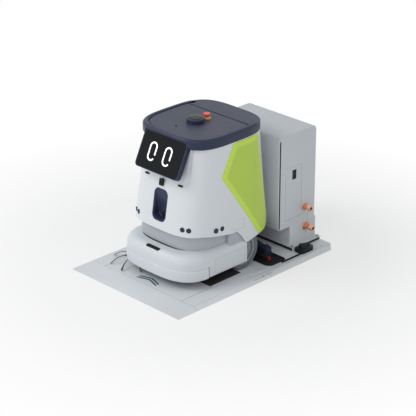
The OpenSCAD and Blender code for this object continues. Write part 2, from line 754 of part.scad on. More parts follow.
module front_camera() {
    color("#111214") at_robot() at_front(camera_z) difference() {
        translate([-11, -16, seat_c]) cube([22, 32, 11]);
        translate([0, 2, 10]) cylinder(r = 5, h = 5);
    }
}

module sensor_recess() {
    depth = 36;
    color("#3a4262") at_robot() at_front(recess_z) difference() {
        translate([0, 0, -depth]) linear_extrude(depth + 0.5) polygon(rounded(recess_w, recess_h, 28));
        intersection() {
            translate([0, 0, -depth]) linear_extrude(depth + 5)
                polygon(rounded(recess_w - 10, recess_h - 10, 23));
            along_x(-60, 60) polygon([[62, 5], [62, -3], [-28, -30], [-60, -30], [-72, 5]]);
        }
    }
}

module recess_lens() {
    color("#0f1012") at_robot() at_front(recess_z) translate([12, -44, -30]) {
        cylinder(r = 15, h = 4);
        translate([0, 0, 3]) cylinder(r = 11, h = 7);
    }
}

module sonar_sensors() {
    color("#2f3652") at_robot() at_sonars() translate([0, 0, -14]) cylinder(r = sonar_r, h = 15);
}

module front_lights() {
    color("#4a4a46") at_robot() for (s = [-1, 1]) at_front(lights_z) translate([s * lights_x, -4, -shell_t])
        linear_extrude(shell_t + 0.4) polygon(rounded(26, 8, 3.9));
}

module line_sensor_window() {
    color("#131416") at_robot() translate([0, -303, 128]) linear_extrude(24)
        polygon(rounded(86, 17, 8.2));
}

// Raised panel: its outline in (y, z), rounded at the corners
module side_outline() {
    c = [[-13, 632], [152, 632], [221, 190], [204, 158], [139, 152], [-93, 490]];
    r = [26, 5, 20, 20, 26, 30];
    polygon([for (i = [0:5]) let (p = c[i], a = c[(i + 5) % 6] - p, b = c[(i + 1) % 6] - p,
            ua = a / norm(a), ub = b / norm(b), h = acos(ua * ub) / 2, t = min(r[i] / tan(h),
            0.45 * norm(a), 0.45 * norm(b)))
        for (k = [0:6]) let (f = k / 6)
            p + ua * t * pow(1 - f, 2) + ub * t * pow(f, 2)]);
}

module side_panel_left() {
    color("#a9cd45") at_robot() difference() {
        intersection() {
            shell_loft(side_t, shell_low, shell_top - seat_c);
            along_x(60, 300) side_outline();
        }
        shell_loft(0.25, shell_low - 1, shell_top + 1);
    }
}

module side_panel_right() { color("#a9cd45") mirror([1, 0, 0]) side_panel_left(); }

module port_flap() {
    color("#dadfe2") at_robot() at_flap() difference() {
        translate([0, 0, -flap_t - 0.4]) linear_extrude(flap_t) flap_outline(0);
        translate([(flap_y0 + flap_y1) / 2, -flap_h + 9, -0.4]) cylinder(r = 7, h = 3, center = true);
    }
}

module port_socket() {
    color("#2b2e33") at_robot() at_flap() difference() {
        translate([flap_y0 - 4, -flap_h - 4, -34]) cube([flap_y1 - flap_y0 + 8, flap_h + 8, 34 - shell_t - 1.2]);
        translate([flap_y0 + 22, -flap_h / 2, -26]) cylinder(r = 13, h = 40);
        translate([flap_y1 - 32, -flap_h / 2 - 12, -26]) cube([24, 24, 40]);
    }
}

// ---- Deck doors and running gear ----

module brush_door_left() {
    color("#ccd2d6") at_robot() translate([door_x - deck_t, (brush_door_y0 + brush_door_y1) / 2,
            (brush_door_z0 + brush_door_z1) / 2]) rotate([90, 0, 90]) linear_extrude(deck_t)
        polygon(rounded(brush_door_y1 - brush_door_y0, brush_door_z1 - brush_door_z0, 6));
}

module brush_door_right() { color("#ccd2d6") mirror([1, 0, 0]) brush_door_left(); }

module tyre_left() {
    color("#6a7076") at_robot() translate([wheel_x - wheel_w / 2, wheel_y, wheel_r])
        rotate([0, 90, 0]) rotate_extrude($fn = 96) difference() {
            translate([wheel_r - 20, -wheel_w / 2]) square([20, wheel_w]);
            for (s = [-1, 1]) translate([wheel_r, s * wheel_w / 2]) rotate(45)
                square([5, 5], center = true);
        }
}

module tyre_right() { color("#6a7076") mirror([1, 0, 0]) tyre_left(); }

module hub_left() {
    color("#8d949a") at_robot() translate([wheel_x - wheel_w / 2, wheel_y, wheel_r]) difference() {
        rod_x(-hub_t / 2, hub_t / 2, wheel_r - 20);
        rod_x(hub_t / 2 - 14, hub_t, wheel_r - 30);
        rod_x(-hub_t, hub_t / 2 - 18, axle_r + fit_c);
        for (i = [0:4]) rotate([72 * i, 0, 0]) translate([0, 34, 0]) rod_x(-hub_t, hub_t, 9);
    }
}

module hub_right() { color("#8d949a") mirror([1, 0, 0]) hub_left(); }

module drive_motors() {
    x1 = wheel_x - wheel_w - 2;
    color("#41464d") at_robot() both() translate([0, wheel_y, wheel_r]) {
        rod_x(92, x1 - 8, 34);
        rod_x(x1 - 10, x1, 24);
        rod_x(x1 - 2, wheel_x - wheel_w / 2 + hub_t / 2 - 19, axle_r);
        box([96, -30, 20], [x1 - 12, 30, chassis_z - wheel_r]);
    }
}

module caster_fork() {
    trail = 18;
    color("#7f868c") at_robot() translate([0, caster_y, 0]) union() {
        translate([0, 0, 80]) cylinder(r = 22, h = chassis_z - 80 - seat_c);
        translate([0, 0, 90]) cylinder(r = 10, h = chassis_z + chassis_t + 4 - 90);
        box([-20, -16, 74], [20, trail + 12, 80.5]);
        for (s = [-1, 1]) box([s * 17.5 - 2.5, trail - 12, caster_r - 9], [s * 17.5 + 2.5, trail + 12, 78]);
        translate([0, trail, caster_r]) rod_x(-21, 21, 4);
    }
}

module caster_wheel() {
    color("#3b3e42") at_robot() translate([0, caster_y + 18, caster_r]) difference() {
        rod_x(-14, 14, caster_r);
        rod_x(-15, 15, 4 + fit_c);
    }
}

module brush_housing() {
    top = chassis_z - lift - 1;
    hl = roller_l / 2;
    color("#3c4248") at_robot() difference() {
        union() {
            box([-hl - 8, roller_y - 54, 50], [hl + 8, roller_y + 54, 92]);
            for (s = [-1, 1]) box([s * (hl + 5) - 3, roller_y - 20, 20], [s * (hl + 5) + 3, roller_y + 20, 60]);
            for (x = [-brush_post, brush_post]) box([x - 14, roller_y - 14, 90], [x + 14, roller_y + 14, top]);
            translate([0, roller_y, roller_z]) rod_x(-hl - 3, hl + 3, 6);
        }
        difference() {
            translate([0, roller_y, roller_z]) rod_x(-hl - 1, hl + 1, roller_r + 4);
            translate([0, roller_y, roller_z]) rod_x(-hl - 2, hl + 2, 6);
        }
        both() box([wheel_x - wheel_w - 6, wheel_y - wheel_r - 6, 0], [260, wheel_y + wheel_r + 6, 232]);
    }
}

module roller_brush() {
    color("#2f5f9e") at_robot() translate([0, roller_y, roller_z]) difference() {
        union() {
            rod_x(-roller_l / 2, roller_l / 2, roller_r - 3);
            for (i = [0:9]) rotate([36 * i, 0, 0]) translate([0, 0, roller_r - 5])
                translate([-roller_l / 2 + 4, -4, 0]) cube([roller_l - 8, 8, 4.6]);
        }
        rod_x(-roller_l, roller_l, 6 + fit_c);
    }
}

// Arms that splay outward and down from a round hub, on the robot's right
module side_brush() {
    arms = 8;
    color("#1b1c1f") at_robot() translate([-side_brush_x, side_brush_y, 0]) {
        difference() {
            translate([0, 0, 28]) cylinder(r = 26, h = 18);
            translate([0, 0, 38]) cylinder(r = brush_shaft_r + fit_c, h = 20);
        }
        for (i = [0:arms - 1]) rotate(190 - 360 / arms * i) translate([20, 0, 33]) rotate([0, 104, 0])
            cylinder(r1 = 4, r2 = 2.4, h = (side_brush_r - 20) / cos(14), $fn = 16);
    }
}

module squeegee_bracket() {
    z = 14;
    color("#262b40") at_robot() translate([0, squeegee_y, 0]) difference() {
        union() {
            translate([0, 0, z + 8]) linear_extrude(26) difference() {
                polygon([for (i = [0:24]) let (a = 25 + 130 * i / 24) [262 * cos(a) / cos(25), 105 * sin(a) - 98]]);
                polygon([for (i = [0:24]) let (a = 25 + 130 * i / 24) [236 * cos(a) / cos(25), 105 * sin(a) - 122]]);
            }
            both() translate([222, -40, z + 8]) cylinder(r = 16, h = 34);
            both() translate([196, -22, z + 8]) cylinder(r = 12, h = 30);
            translate([-30, -50, z + 10]) cube([60, 60, 22]);
            both() box([squeegee_post[0], -40, z + 12], [squeegee_post[1], 0, chassis_z - lift - 1]);
            translate([0, -30, z + 10]) cylinder(r = 22, h = 70);
        }
        translate([0, -30, z]) cylinder(r = 17, h = 100);
    }
}

module squeegee_blades() {
    color("#c23a2c") at_robot() translate([0, squeegee_y, 1.5]) linear_extrude(20.2) difference() {
        polygon([for (i = [0:24]) let (a = 28 + 124 * i / 24) [250 * cos(a) / cos(28), 105 * sin(a) - 101]]);
        polygon([for (i = [0:24]) let (a = 28 + 124 * i / 24) [244 * cos(a) / cos(28), 105 * sin(a) - 106]]);
    }
}

// ---- Inside the body ----

module clean_tank() {
    color("#9cc4dd") at_robot() difference() {
        translate([0, -90, shell_z + 4 + seat_c]) linear_extrude(250) polygon(rounded(360, 190, 26));
        translate([0, -90, shell_z + 235]) cylinder(r = 28, h = 40);
        translate([0, -90, shell_z + 9]) linear_extrude(230) polygon(rounded(352, 182, 22));
    }
}

module dirty_tank() {
    color("#6f7c88") at_robot() difference() {
        translate([0, 112, chassis_z + chassis_t + 70]) linear_extrude(390) polygon(rounded(330, 190, 26));
        translate([0, 112, chassis_z + chassis_t + 74]) linear_extrude(382) polygon(rounded(322, 182, 22));
        translate([0, 112, chassis_z + chassis_t + 440]) cylinder(r = 60, h = 40);
    }
}

module battery_pack() {
    color("#33373c") at_robot() box([-140, 30, chassis_z + chassis_t], [140, 115, chassis_z + chassis_t + 68]);
}

module charge_contacts() {
    color("#c9a45c") at_robot() union() {
        box([-51.5, 240, 183.5], [51.5, 262, 230.5]);
        for (x = [-28, 28]) box([x - 8, 255, 190], [x + 8, 264, 224]);
    }
}

dock_base_plate();
dock_mats();
dock_arrow_marker();
dock_plinth();
dock_seal_frame();
dock_cabinet();
dock_service_door();
dock_door_pull();
dock_inlet_fitting();
dock_drain_fitting();
dock_cap_chain();
dock_charge_head();
dock_hose_block();
dock_bolts();
chassis_plate();
neck_cover();
lower_deck();
front_bumper();
body_shell();
top_rim();
top_panel();
rear_lid();
lid_hinge();
lidar_base();
lidar_head();
estop_collar();
estop_button();
panel_button();
display_housing();
display_glass();
display_eyes();
front_camera();
sensor_recess();
recess_lens();
sonar_sensors();
front_lights();
line_sensor_window();
side_panel_left();
side_panel_right();
port_flap();
port_socket();
brush_door_left();
brush_door_right();
tyre_left();
hub_left();
tyre_right();
hub_right();
drive_motors();
caster_fork();
caster_wheel();
brush_housing();
roller_brush();
side_brush();
squeegee_bracket();
squeegee_blades();
clean_tank();
dirty_tank();
battery_pack();
charge_contacts();
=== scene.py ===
"""Robotic floor cleaner on its service station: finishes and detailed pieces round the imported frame."""

import json
import math

import bmesh
import bpy
import numpy as np
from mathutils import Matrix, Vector


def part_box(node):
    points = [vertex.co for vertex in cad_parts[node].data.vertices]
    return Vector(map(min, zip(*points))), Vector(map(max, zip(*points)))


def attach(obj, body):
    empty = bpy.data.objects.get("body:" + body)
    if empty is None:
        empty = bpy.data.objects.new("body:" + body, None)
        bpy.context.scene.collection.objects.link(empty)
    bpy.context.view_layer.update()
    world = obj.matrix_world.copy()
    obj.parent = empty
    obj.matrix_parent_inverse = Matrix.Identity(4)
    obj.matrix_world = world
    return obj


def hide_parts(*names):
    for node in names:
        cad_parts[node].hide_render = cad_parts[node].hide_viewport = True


bl_info = {
    "name": "Robotic Floor Cleaner",
    "version": (1, 0, 0),
    "blender": (4, 5, 0),
    "location": "View3D > Sidebar > Cleaner",
    "description": "Builds a floor cleaning robot on its station round a packed frame",
    "category": "Add Mesh",
}

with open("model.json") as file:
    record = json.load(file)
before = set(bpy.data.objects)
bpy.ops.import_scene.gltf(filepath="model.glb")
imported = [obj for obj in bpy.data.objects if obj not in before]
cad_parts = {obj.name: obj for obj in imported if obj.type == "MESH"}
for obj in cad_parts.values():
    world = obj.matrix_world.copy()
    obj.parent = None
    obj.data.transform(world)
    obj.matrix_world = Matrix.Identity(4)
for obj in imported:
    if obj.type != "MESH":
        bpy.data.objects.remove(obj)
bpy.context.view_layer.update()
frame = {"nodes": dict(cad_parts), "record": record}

# ---- Places taken from the frame, in millimetres ----

MM = 0.001
UP = np.array([0.0, 0.0, 1.0])


def box_mm(node):
    """Lowest and highest corner of a CAD node, in millimetres."""
    low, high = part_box(node)
    return np.array(low) / MM, np.array(high) / MM


def middle(node):
    """Middle of a CAD node's box, in millimetres."""
    low, high = box_mm(node)
    return (low + high) / 2


AXLE_BACK = 53.0
STATION = np.array([0.0, box_mm("dock_base_plate")[0][1], 0.0])
ROBOT = np.array([0.0, middle("tyre_left")[1] - AXLE_BACK, box_mm("tyre_left")[0][2]])
PLATE_TOP = box_mm("dock_base_plate")[1][2]
RIM_LOW, RIM_HIGH = (c - ROBOT for c in box_mm("top_rim"))
PANEL_LOW, PANEL_HIGH = (c - ROBOT for c in box_mm("top_panel"))
DECK_LOW, DECK_HIGH = (c - ROBOT for c in box_mm("lower_deck"))
SHELL_HIGH = box_mm("body_shell")[1] - ROBOT

SHELL_WIDE_Z = 237.0
SHELL_TOP_Z = SHELL_HIGH[2]
SHELL_WIDE = np.array([SHELL_HIGH[0], 271.5, -6.5])
SHELL_NARROW = np.array([RIM_HIGH[0] - 5.0, 221.5, 8.5])
SQUARENESS = 3.6
DECK_SQUARENESS = 3.1
DECK_HALF = DECK_HIGH[0]
DECK_MID = -150.0
DECK_SIDE_POINTS = 13
DISPLAY_LEAN = math.radians(25.4)
DISPLAY_AT = np.array([0.0, -250.0, SHELL_TOP_Z - 51.0])
DISPLAY_SIZE = (270.0, 172.0, 24.0)
FRONT_LEAN = math.atan((271.5 + 6.5 - 221.5 + 8.5) / (SHELL_TOP_Z - SHELL_WIDE_Z))
RECESS_Z = 348.0
LIGHTS_Z = SHELL_TOP_Z - 170.0
LIGHTS_X = 105.0
EYE_PLACES = (-54.0, 40.0)


# ---- Mesh helpers ----

def superellipse(angle, half_x, half_y, power):
    """Point on |x/a|^n + |y/b|^n = 1 at an angle: a*sign(cos)*|cos|^(2/n), b*sign(sin)*|sin|^(2/n)."""
    c, s = np.cos(angle), np.sin(angle)
    x = half_x * np.sign(c) * np.abs(c) ** (2 / power)
    y = half_y * np.sign(s) * np.abs(s) ** (2 / power)
    return x, y


def smoothstep(low, high, x):
    """0 below low, 1 above high, and 3t^2 - 2t^3 between."""
    t = np.clip((x - low) / (high - low), 0, 1)
    return t * t * (3 - 2 * t)


def lifted(line, z):
    """A plan line of (x, y) at one height."""
    return np.column_stack([line, np.full(len(line), z)])


def placed(base, origin=(0, 0, 0), right=(1, 0, 0), up=(0, 1, 0)):
    """A map from local millimetres (right, up, out) to the frame's metres."""
    right, up = np.asarray(right, float), np.asarray(up, float)
    axes = np.stack([right, up, np.cross(right, up)])
    start = np.asarray(base, float) + np.asarray(origin, float)
    return lambda points: (np.asarray(points, float) @ axes + start) * MM


def on_display():
    """Local frame of the display's face: out of the glass is the third axis."""
    return placed(ROBOT, DISPLAY_AT, (1, 0, 0), (0, math.sin(DISPLAY_LEAN), math.cos(DISPLAY_LEAN)))


def shell_level(z, offset=0.0):
    """Half width, half length and middle of the body's outline at a height, blended linearly."""
    f = np.clip((np.asarray(z, float) - SHELL_WIDE_Z) / (SHELL_TOP_Z - SHELL_WIDE_Z), 0, 1)
    level = SHELL_WIDE + (SHELL_NARROW - SHELL_WIDE) * f[..., None]
    return level[..., 0] + offset, level[..., 1] + offset, level[..., 2]


def on_front(z):
    """Local frame of the body's front face at a height."""
    _, half_y, mid = shell_level(z)
    return placed(ROBOT, (0, mid - half_y, z), (1, 0, 0), (0, math.sin(FRONT_LEAN), math.cos(FRONT_LEAN)))


def shell_point(angle, z, offset=0.0):
    """Point of the body's surface at an angle and a height, a superellipse that shrinks upward."""
    half_x, half_y, mid = shell_level(z, offset)
    x, y = superellipse(angle, half_x, half_y, SQUARENESS)
    return np.stack(np.broadcast_arrays(x, y + mid, z), axis=-1)


def new_object(name, vertices, faces):
    """A mesh object from points in metres and lists of corner numbers."""
    mesh = bpy.data.meshes.new(name)
    mesh.from_pydata(np.asarray(vertices, float).tolist(), [], faces)
    piece = bpy.data.objects.new(name, mesh)
    bpy.context.scene.collection.objects.link(piece)
    return piece


def tidy_mesh(piece, crease=35.0, merge=2e-6):
    """Merges doubles, points the faces outward and shades smooth except over sharp edges."""
    mesh = piece.data
    work = bmesh.new()
    work.from_mesh(mesh)
    bmesh.ops.remove_doubles(work, verts=work.verts, dist=merge)
    bmesh.ops.dissolve_degenerate(work, edges=work.edges, dist=1e-7)
    bmesh.ops.recalc_face_normals(work, faces=work.faces)
    work.to_mesh(mesh)
    work.free()
    mesh.shade_smooth()
    mesh.set_sharp_from_angle(angle=math.radians(crease))
    return piece


def surface(name, grid, close_u=False, close_v=False, caps=True, crease=35.0):
    """A mesh over a grid of points (u, v, xyz) in metres; open ends in u get one flat cap each."""
    m, n = grid.shape[:2]
    number = np.arange(m * n).reshape(m, n)
    if close_u:
        number = np.vstack([number, number[:1]])
    if close_v:
        number = np.hstack([number, number[:, :1]])
    quads = np.stack([number[:-1, :-1], number[1:, :-1], number[1:, 1:], number[:-1, 1:]], -1)
    faces = quads.reshape(-1, 4).tolist()
    if caps and not close_u:
        faces += [list(range(n))[::-1], list(range((m - 1) * n, m * n))]
    return tidy_mesh(new_object(name, grid.reshape(-1, 3), faces), crease)


def rounded(width, height, radius, steps=10):
    """Outline of a rectangle with quarter-circle corners."""
    quarter = np.linspace(0, math.pi / 2, steps + 1)
    corners = []
    for k, (sx, sy) in enumerate(((1, 1), (-1, 1), (-1, -1), (1, -1))):
        turn = quarter + k * math.pi / 2
        corners.append(np.stack([sx * (width / 2 - radius) + radius * np.cos(turn),
                                 sy * (height / 2 - radius) + radius * np.sin(turn)], -1))
    return np.concatenate(corners)


def inset(outline, distance):
    """The outline moved inward along its corner normals, mitred so that straight sides stay parallel."""
    ahead = np.roll(outline, -1, 0) - outline
    ahead /= np.maximum(np.linalg.norm(ahead, axis=1, keepdims=True), 1e-9)
    behind = np.roll(ahead, 1, 0)
    normal = np.stack([-(ahead + behind)[:, 1], (ahead + behind)[:, 0]], -1)
    normal /= np.maximum(np.linalg.norm(normal, axis=1, keepdims=True), 1e-9)
    side = np.stack([-ahead[:, 1], ahead[:, 0]], -1)
    stretch = 1 / np.maximum((normal * side).sum(1, keepdims=True), 0.5)
    return outline + normal * distance * stretch


def slab(name, outline, low, high, place, top=1.0, bottom=0.4, pocket=None, steps=5, crease=35.0):
    """A closed plate over an anticlockwise outline: each rim is a quarter circle of its own radius.
    A pocket (inset, depth) sinks the top face inside a border."""
    rings = []
    for k in np.linspace(0, math.pi / 2, steps):
        if bottom > 0:
            rings.append((bottom * (1 - math.sin(k)), low + bottom * (1 - math.cos(k))))
    if bottom <= 0:
        rings.append((0, low))
    for k in np.linspace(0, math.pi / 2, steps):
        if top > 0:
            rings.append((top * (1 - math.cos(k)), high - top * (1 - math.sin(k))))
    if top <= 0:
        rings.append((0, high))
    first, last = rings[0], rings[-1]
    rings.insert(0, (first[0] + 0.4, first[1]))
    rings.append((last[0] + 0.4, last[1]))
    if pocket:
        rings += [(pocket[0], high), (pocket[0], high - pocket[1]), (pocket[0] + 0.4, high - pocket[1])]
    grid = [lifted(inset(outline, d), z) for d, z in rings]
    return surface(name, place(np.array(grid)), close_v=True, crease=crease)


def lathe(name, profile, place, segments=72, ripple=None, crease=35.0):
    """A profile of (radius, height) turned about the local third axis; ripple(angle, k) scales radii."""
    profile = np.asarray(profile, float)
    angle = np.linspace(0, 2 * math.pi, segments, endpoint=False)
    radius = np.repeat(profile[:, 0][None], segments, 0)
    if ripple is not None:
        radius = radius * ripple(angle[:, None], np.arange(len(profile))[None])
    grid = np.stack([radius * np.cos(angle)[:, None], radius * np.sin(angle)[:, None],
                     np.repeat(profile[:, 1][None], segments, 0)], -1)
    return surface(name, place(grid), close_u=True, crease=crease)


def cutter(outline, low, high, place):
    """A sharp-edged plate to cut with."""
    return slab("t", outline, low, high, place, 0, 0)


def round_cutter(radius, low, high, place, segments=40):
    """A cylinder to cut with."""
    return lathe("t", [(0, low), (radius, low), (radius, high), (0, high)], place, segments)


def display_cutter():
    """The display's block with 0.4 mm to spare all round, reaching out of the body."""
    wide, tall, deep = DISPLAY_SIZE
    return cutter(rounded(wide + 0.8, tall + 0.8, 18.4), -deep - 0.4, 60, on_display())


def tubes(name, paths, radii, sides=6, crease=60.0):
    """Closed tubes along paths (count, points, xyz) in metres; radii (points) in millimetres.
    Each ring stands across the path's direction."""
    paths = np.asarray(paths, float)
    along = np.gradient(paths, axis=1)
    along /= np.linalg.norm(along, axis=-1, keepdims=True)
    side = np.cross(along, np.array([0.31, 0.17, 0.93]))
    side /= np.linalg.norm(side, axis=-1, keepdims=True)
    other = np.cross(along, side)
    turn = np.linspace(0, 2 * math.pi, sides, endpoint=False)
    ring = side[:, :, None] * np.cos(turn)[:, None] + other[:, :, None] * np.sin(turn)[:, None]
    points = paths[:, :, None] + ring * (np.asarray(radii) * MM)[None, :, None, None]
    count, length = paths.shape[:2]
    number = np.arange(count * length * sides).reshape(count, length, sides)
    around = np.concatenate([number, number[:, :, :1]], 2)
    quads = np.stack([around[:, :-1, :-1], around[:, 1:, :-1], around[:, 1:, 1:], around[:, :-1, 1:]], -1)
    faces = quads.reshape(-1, 4).tolist() + number[:, 0, ::-1].tolist() + number[:, -1].tolist()
    return tidy_mesh(new_object(name, points.reshape(-1, 3), faces), crease)


def applied(piece, crease=35.0):
    """Turns the piece's modifiers into plain mesh."""
    graph = bpy.context.evaluated_depsgraph_get()
    mesh = bpy.data.meshes.new_from_object(piece.evaluated_get(graph))
    piece.modifiers.clear()
    piece.data = mesh
    mesh.shade_smooth()
    mesh.set_sharp_from_angle(angle=math.radians(crease))
    return piece


def cut(piece, *tools, crease=35.0):
    """Takes the tools' volumes out of the piece, and removes the tools."""
    for tool in tools:
        step = piece.modifiers.new("Cut", "BOOLEAN")
        step.operation = "DIFFERENCE"
        step.solver = "EXACT"
        step.object = tool
    applied(piece, crease)
    for tool in tools:
        bpy.data.objects.remove(tool)
    return piece


def joined(name, parts):
    """One object that holds the meshes of several."""
    work = bmesh.new()
    for part in parts:
        work.from_mesh(part.data)
        bpy.data.objects.remove(part)
    mesh = bpy.data.meshes.new(name)
    work.to_mesh(mesh)
    work.free()
    mesh.shade_smooth()
    piece = bpy.data.objects.new(name, mesh)
    bpy.context.scene.collection.objects.link(piece)
    return piece


def eased_copy(node, bevel=0.0, crease=32.0):
    """A merged, smoothly shaded copy of a CAD node, with its sharp edges eased by a small bevel."""
    source = frame["nodes"][node]
    mesh = source.data.copy()
    mesh.name = node + ".eased"
    piece = bpy.data.objects.new(node + ".eased", mesh)
    bpy.context.scene.collection.objects.link(piece)
    mesh.materials.clear()
    work = bmesh.new()
    work.from_mesh(mesh)
    bmesh.ops.remove_doubles(work, verts=work.verts, dist=2e-6)
    bmesh.ops.dissolve_limit(work, angle_limit=math.radians(0.5), verts=work.verts, edges=work.edges)
    work.to_mesh(mesh)
    work.free()
    if bevel > 0:
        step = piece.modifiers.new("Ease", "BEVEL")
        step.width = bevel * MM
        step.segments = 2
        step.limit_method = "ANGLE"
        step.angle_limit = math.radians(crease)
    return applied(piece, crease)


def settle(piece, body, slot, material, *nodes):
    """Gives a piece its material and its body, and hides the CAD nodes that it stands for. The slot is not used."""
    piece.data.materials.clear()
    piece.data.materials.append(material)
    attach(piece, body)
    if nodes:
        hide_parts(*nodes)
    return piece


def eased(node, material, bevel=0.0, crease=32.0):
    """Stands an eased copy in for a CAD node."""
    owner = next(b for b, nodes in frame["record"]["behaviour"]["bodies"].items() if node in nodes)
    slot = next(s["material_slot"] for s in frame["record"]["subparts"] if s["node"] == node)
    return settle(eased_copy(node, bevel, crease), owner, slot, material, node)


# ---- Material helpers ----

class Value:
    """A shader value; arithmetic on it adds Math nodes."""

    def __init__(self, tree, socket):
        self.tree = tree
        self.socket = socket

    def math(self, operation, *values, clamp=False):
        node = self.tree.nodes.new("ShaderNodeMath")
        node.operation = operation
        node.use_clamp = clamp
        for k, value in enumerate(values):
            if isinstance(value, Value):
                self.tree.links.new(value.socket, node.inputs[k])
            else:
                node.inputs[k].default_value = value
        return Value(self.tree, node.outputs[0])

    def __add__(self, other): return self.math("ADD", self, other)
    def __radd__(self, other): return self.math("ADD", other, self)
    def __sub__(self, other): return self.math("SUBTRACT", self, other)
    def __rsub__(self, other): return self.math("SUBTRACT", other, self)
    def __mul__(self, other): return self.math("MULTIPLY", self, other)
    def __rmul__(self, other): return self.math("MULTIPLY", other, self)
    def __truediv__(self, other): return self.math("DIVIDE", self, other)
    def __rtruediv__(self, other): return self.math("DIVIDE", other, self)
    def __pow__(self, other): return self.math("POWER", self, other)
    def size(self): return self.math("ABSOLUTE", self)
    def wave(self): return self.math("SINE", self)
    def below(self, limit): return self.math("LESS_THAN", self, limit)
    def above(self, limit): return self.math("GREATER_THAN", self, limit)
    def part(self): return self.math("FRACT", self)
    def clipped(self): return self.math("ADD", self, 0.0, clamp=True)


class Finish:
    """A material under construction, with one Principled shader."""

    def __init__(self, name, **constants):
        self.material = bpy.data.materials.new(name)
        self.material.use_nodes = True
        self.tree = self.material.node_tree
        self.shader = self.tree.nodes["Principled BSDF"]
        for key, value in constants.items():
            self.shader.inputs[key.replace("_", " ")].default_value = value

    def node(self, kind, settings=None, inputs=None, out=0):
        """Adds a node, sets its settings and then its sockets, and returns one output."""
        node = self.tree.nodes.new(kind)
        for key, value in (settings or {}).items():
            if key == "stops":
                for k, (place, colour) in enumerate(value):
                    stops = node.color_ramp.elements
                    stop = stops[k] if k < len(stops) else stops.new(place)
                    stop.position, stop.color = place, colour
            else:
                setattr(node, key, value)
        for key, value in (inputs or {}).items():
            if isinstance(value, Value):
                self.tree.links.new(value.socket, node.inputs[key])
            else:
                node.inputs[key].default_value = value
        return Value(self.tree, node.outputs[out])

    def at(self):
        """Object coordinates, in metres."""
        return self.node("ShaderNodeTexCoord", out="Object")

    def axes(self):
        """The three object coordinates as separate values."""
        split = self.tree.nodes.new("ShaderNodeSeparateXYZ")
        self.tree.links.new(self.at().socket, split.inputs[0])
        return [Value(self.tree, o) for o in split.outputs]

    def noise(self, scale, detail=2.0, stretch=None):
        """Smooth noise from 0 to 1; stretch scales each axis first."""
        at = self.at()
        if stretch:
            at = self.node("ShaderNodeMapping", None, {"Vector": at, "Scale": stretch})
        return self.node("ShaderNodeTexNoise", None, {"Vector": at, "Scale": scale, "Detail": detail})

    def blend(self, factor, first, second):
        """A colour between two, by a factor."""
        return self.node("ShaderNodeMix", {"data_type": "RGBA"},
                         {0: factor, 6: first, 7: second}, out=2)

    def link(self, socket, value):
        self.tree.links.new(value.socket, self.shader.inputs[socket])

    def bump(self, height, strength=0.2, distance=0.001):
        """Feeds a height into the shader's normal."""
        self.link("Normal", self.node("ShaderNodeBump", None,
                                      {"Height": height, "Strength": strength, "Distance": distance}))


def linear(r, g, b):
    """Linear colour from display values of 0 to 255."""
    c = np.array([r, g, b], float) / 255
    c = np.where(c <= 0.04045, c / 12.92, ((c + 0.055) / 1.055) ** 2.4)
    return (*[float(v) for v in c], 1.0)


def shade(colour, factor):
    """A colour made darker or lighter."""
    return (*[min(1.0, c * factor) for c in colour[:3]], 1.0)


def moulded(name, colour, roughness=0.42, grain=0.12, grain_scale=1500.0, drift=0.035, coat=0.0, shine=0.5):
    """Moulded plastic: fine spark-eroded grain, slow colour drift and uneven gloss."""
    f = Finish(name, Coat_Weight=coat, Coat_Roughness=0.18, Specular_IOR_Level=shine)
    slow, fine = f.noise(5.0, 3.0), f.noise(grain_scale, 2.0)
    smear = f.noise(28.0, 4.0)
    f.link("Base Color", f.blend(slow * 0.7 + smear * 0.3, shade(colour, 1 - drift), shade(colour, 1 + drift)))
    f.link("Roughness", roughness - 0.07 + smear * 0.1 + fine * 0.05)
    f.bump(fine, grain, 0.0004)
    return f.material


def green_with_painted_bevel_highlight(colour):
    """Side panel plastic: fine grain, slow drift, and a painted highlight on the bevel, read from the mesh's own
    attribute.
    """
    f = Finish("side_plastic", Coat_Weight=0.15, Coat_Roughness=0.2)
    slow, fine, smear = f.noise(5.0, 3.0), f.noise(1500.0, 2.0), f.noise(28.0, 4.0)
    edge = f.node("ShaderNodeAttribute", {"attribute_name": "edge"}, out="Fac")
    base = f.blend(slow * 0.7 + smear * 0.3, shade(colour, 0.97), shade(colour, 1.03))
    # Painted highlight: the bevel is tinted 22% lighter, for the light that its slope catches.
    f.link("Base Color", f.blend(edge, base, shade(colour, 1.22)))
    f.link("Roughness", 0.34 + smear * 0.1 + fine * 0.05)
    f.bump(fine, 0.1, 0.0004)
    return f.material


def coated(name, colour, roughness=0.45, drift=0.03):
    """Powder-coated sheet: orange peel, faint scuffs and dust in the roughness."""
    f = Finish(name)
    peel = f.noise(420.0, 2.0)
    slow = f.noise(3.5, 3.0)
    scuff = f.noise(60.0, 6.0, (1.0, 0.12, 1.0))
    worn = ((scuff - 0.62) * 6.0).clipped()
    f.link("Base Color", f.blend(slow - worn * 0.25, shade(colour, 1 - drift), shade(colour, 1 + drift)))
    f.link("Roughness", roughness + worn * 0.15 + peel * 0.05)
    f.bump(peel, 0.12, 0.0006)
    return f.material


def rubbery(name, colour, roughness=0.75, scale=900.0):
    """Rubber: pebbled surface with a little grey dust."""
    f = Finish(name)
    pebble = f.node("ShaderNodeTexVoronoi", None, {"Vector": f.at(), "Scale": scale})
    dust = ((f.noise(40.0, 5.0) - 0.5) * 3.0).clipped()
    f.link("Base Color", f.blend(dust * 0.5, colour, shade(colour, 1.5)))
    f.link("Roughness", roughness + dust * 0.12)
    f.bump(pebble, 0.35, 0.0006)
    return f.material


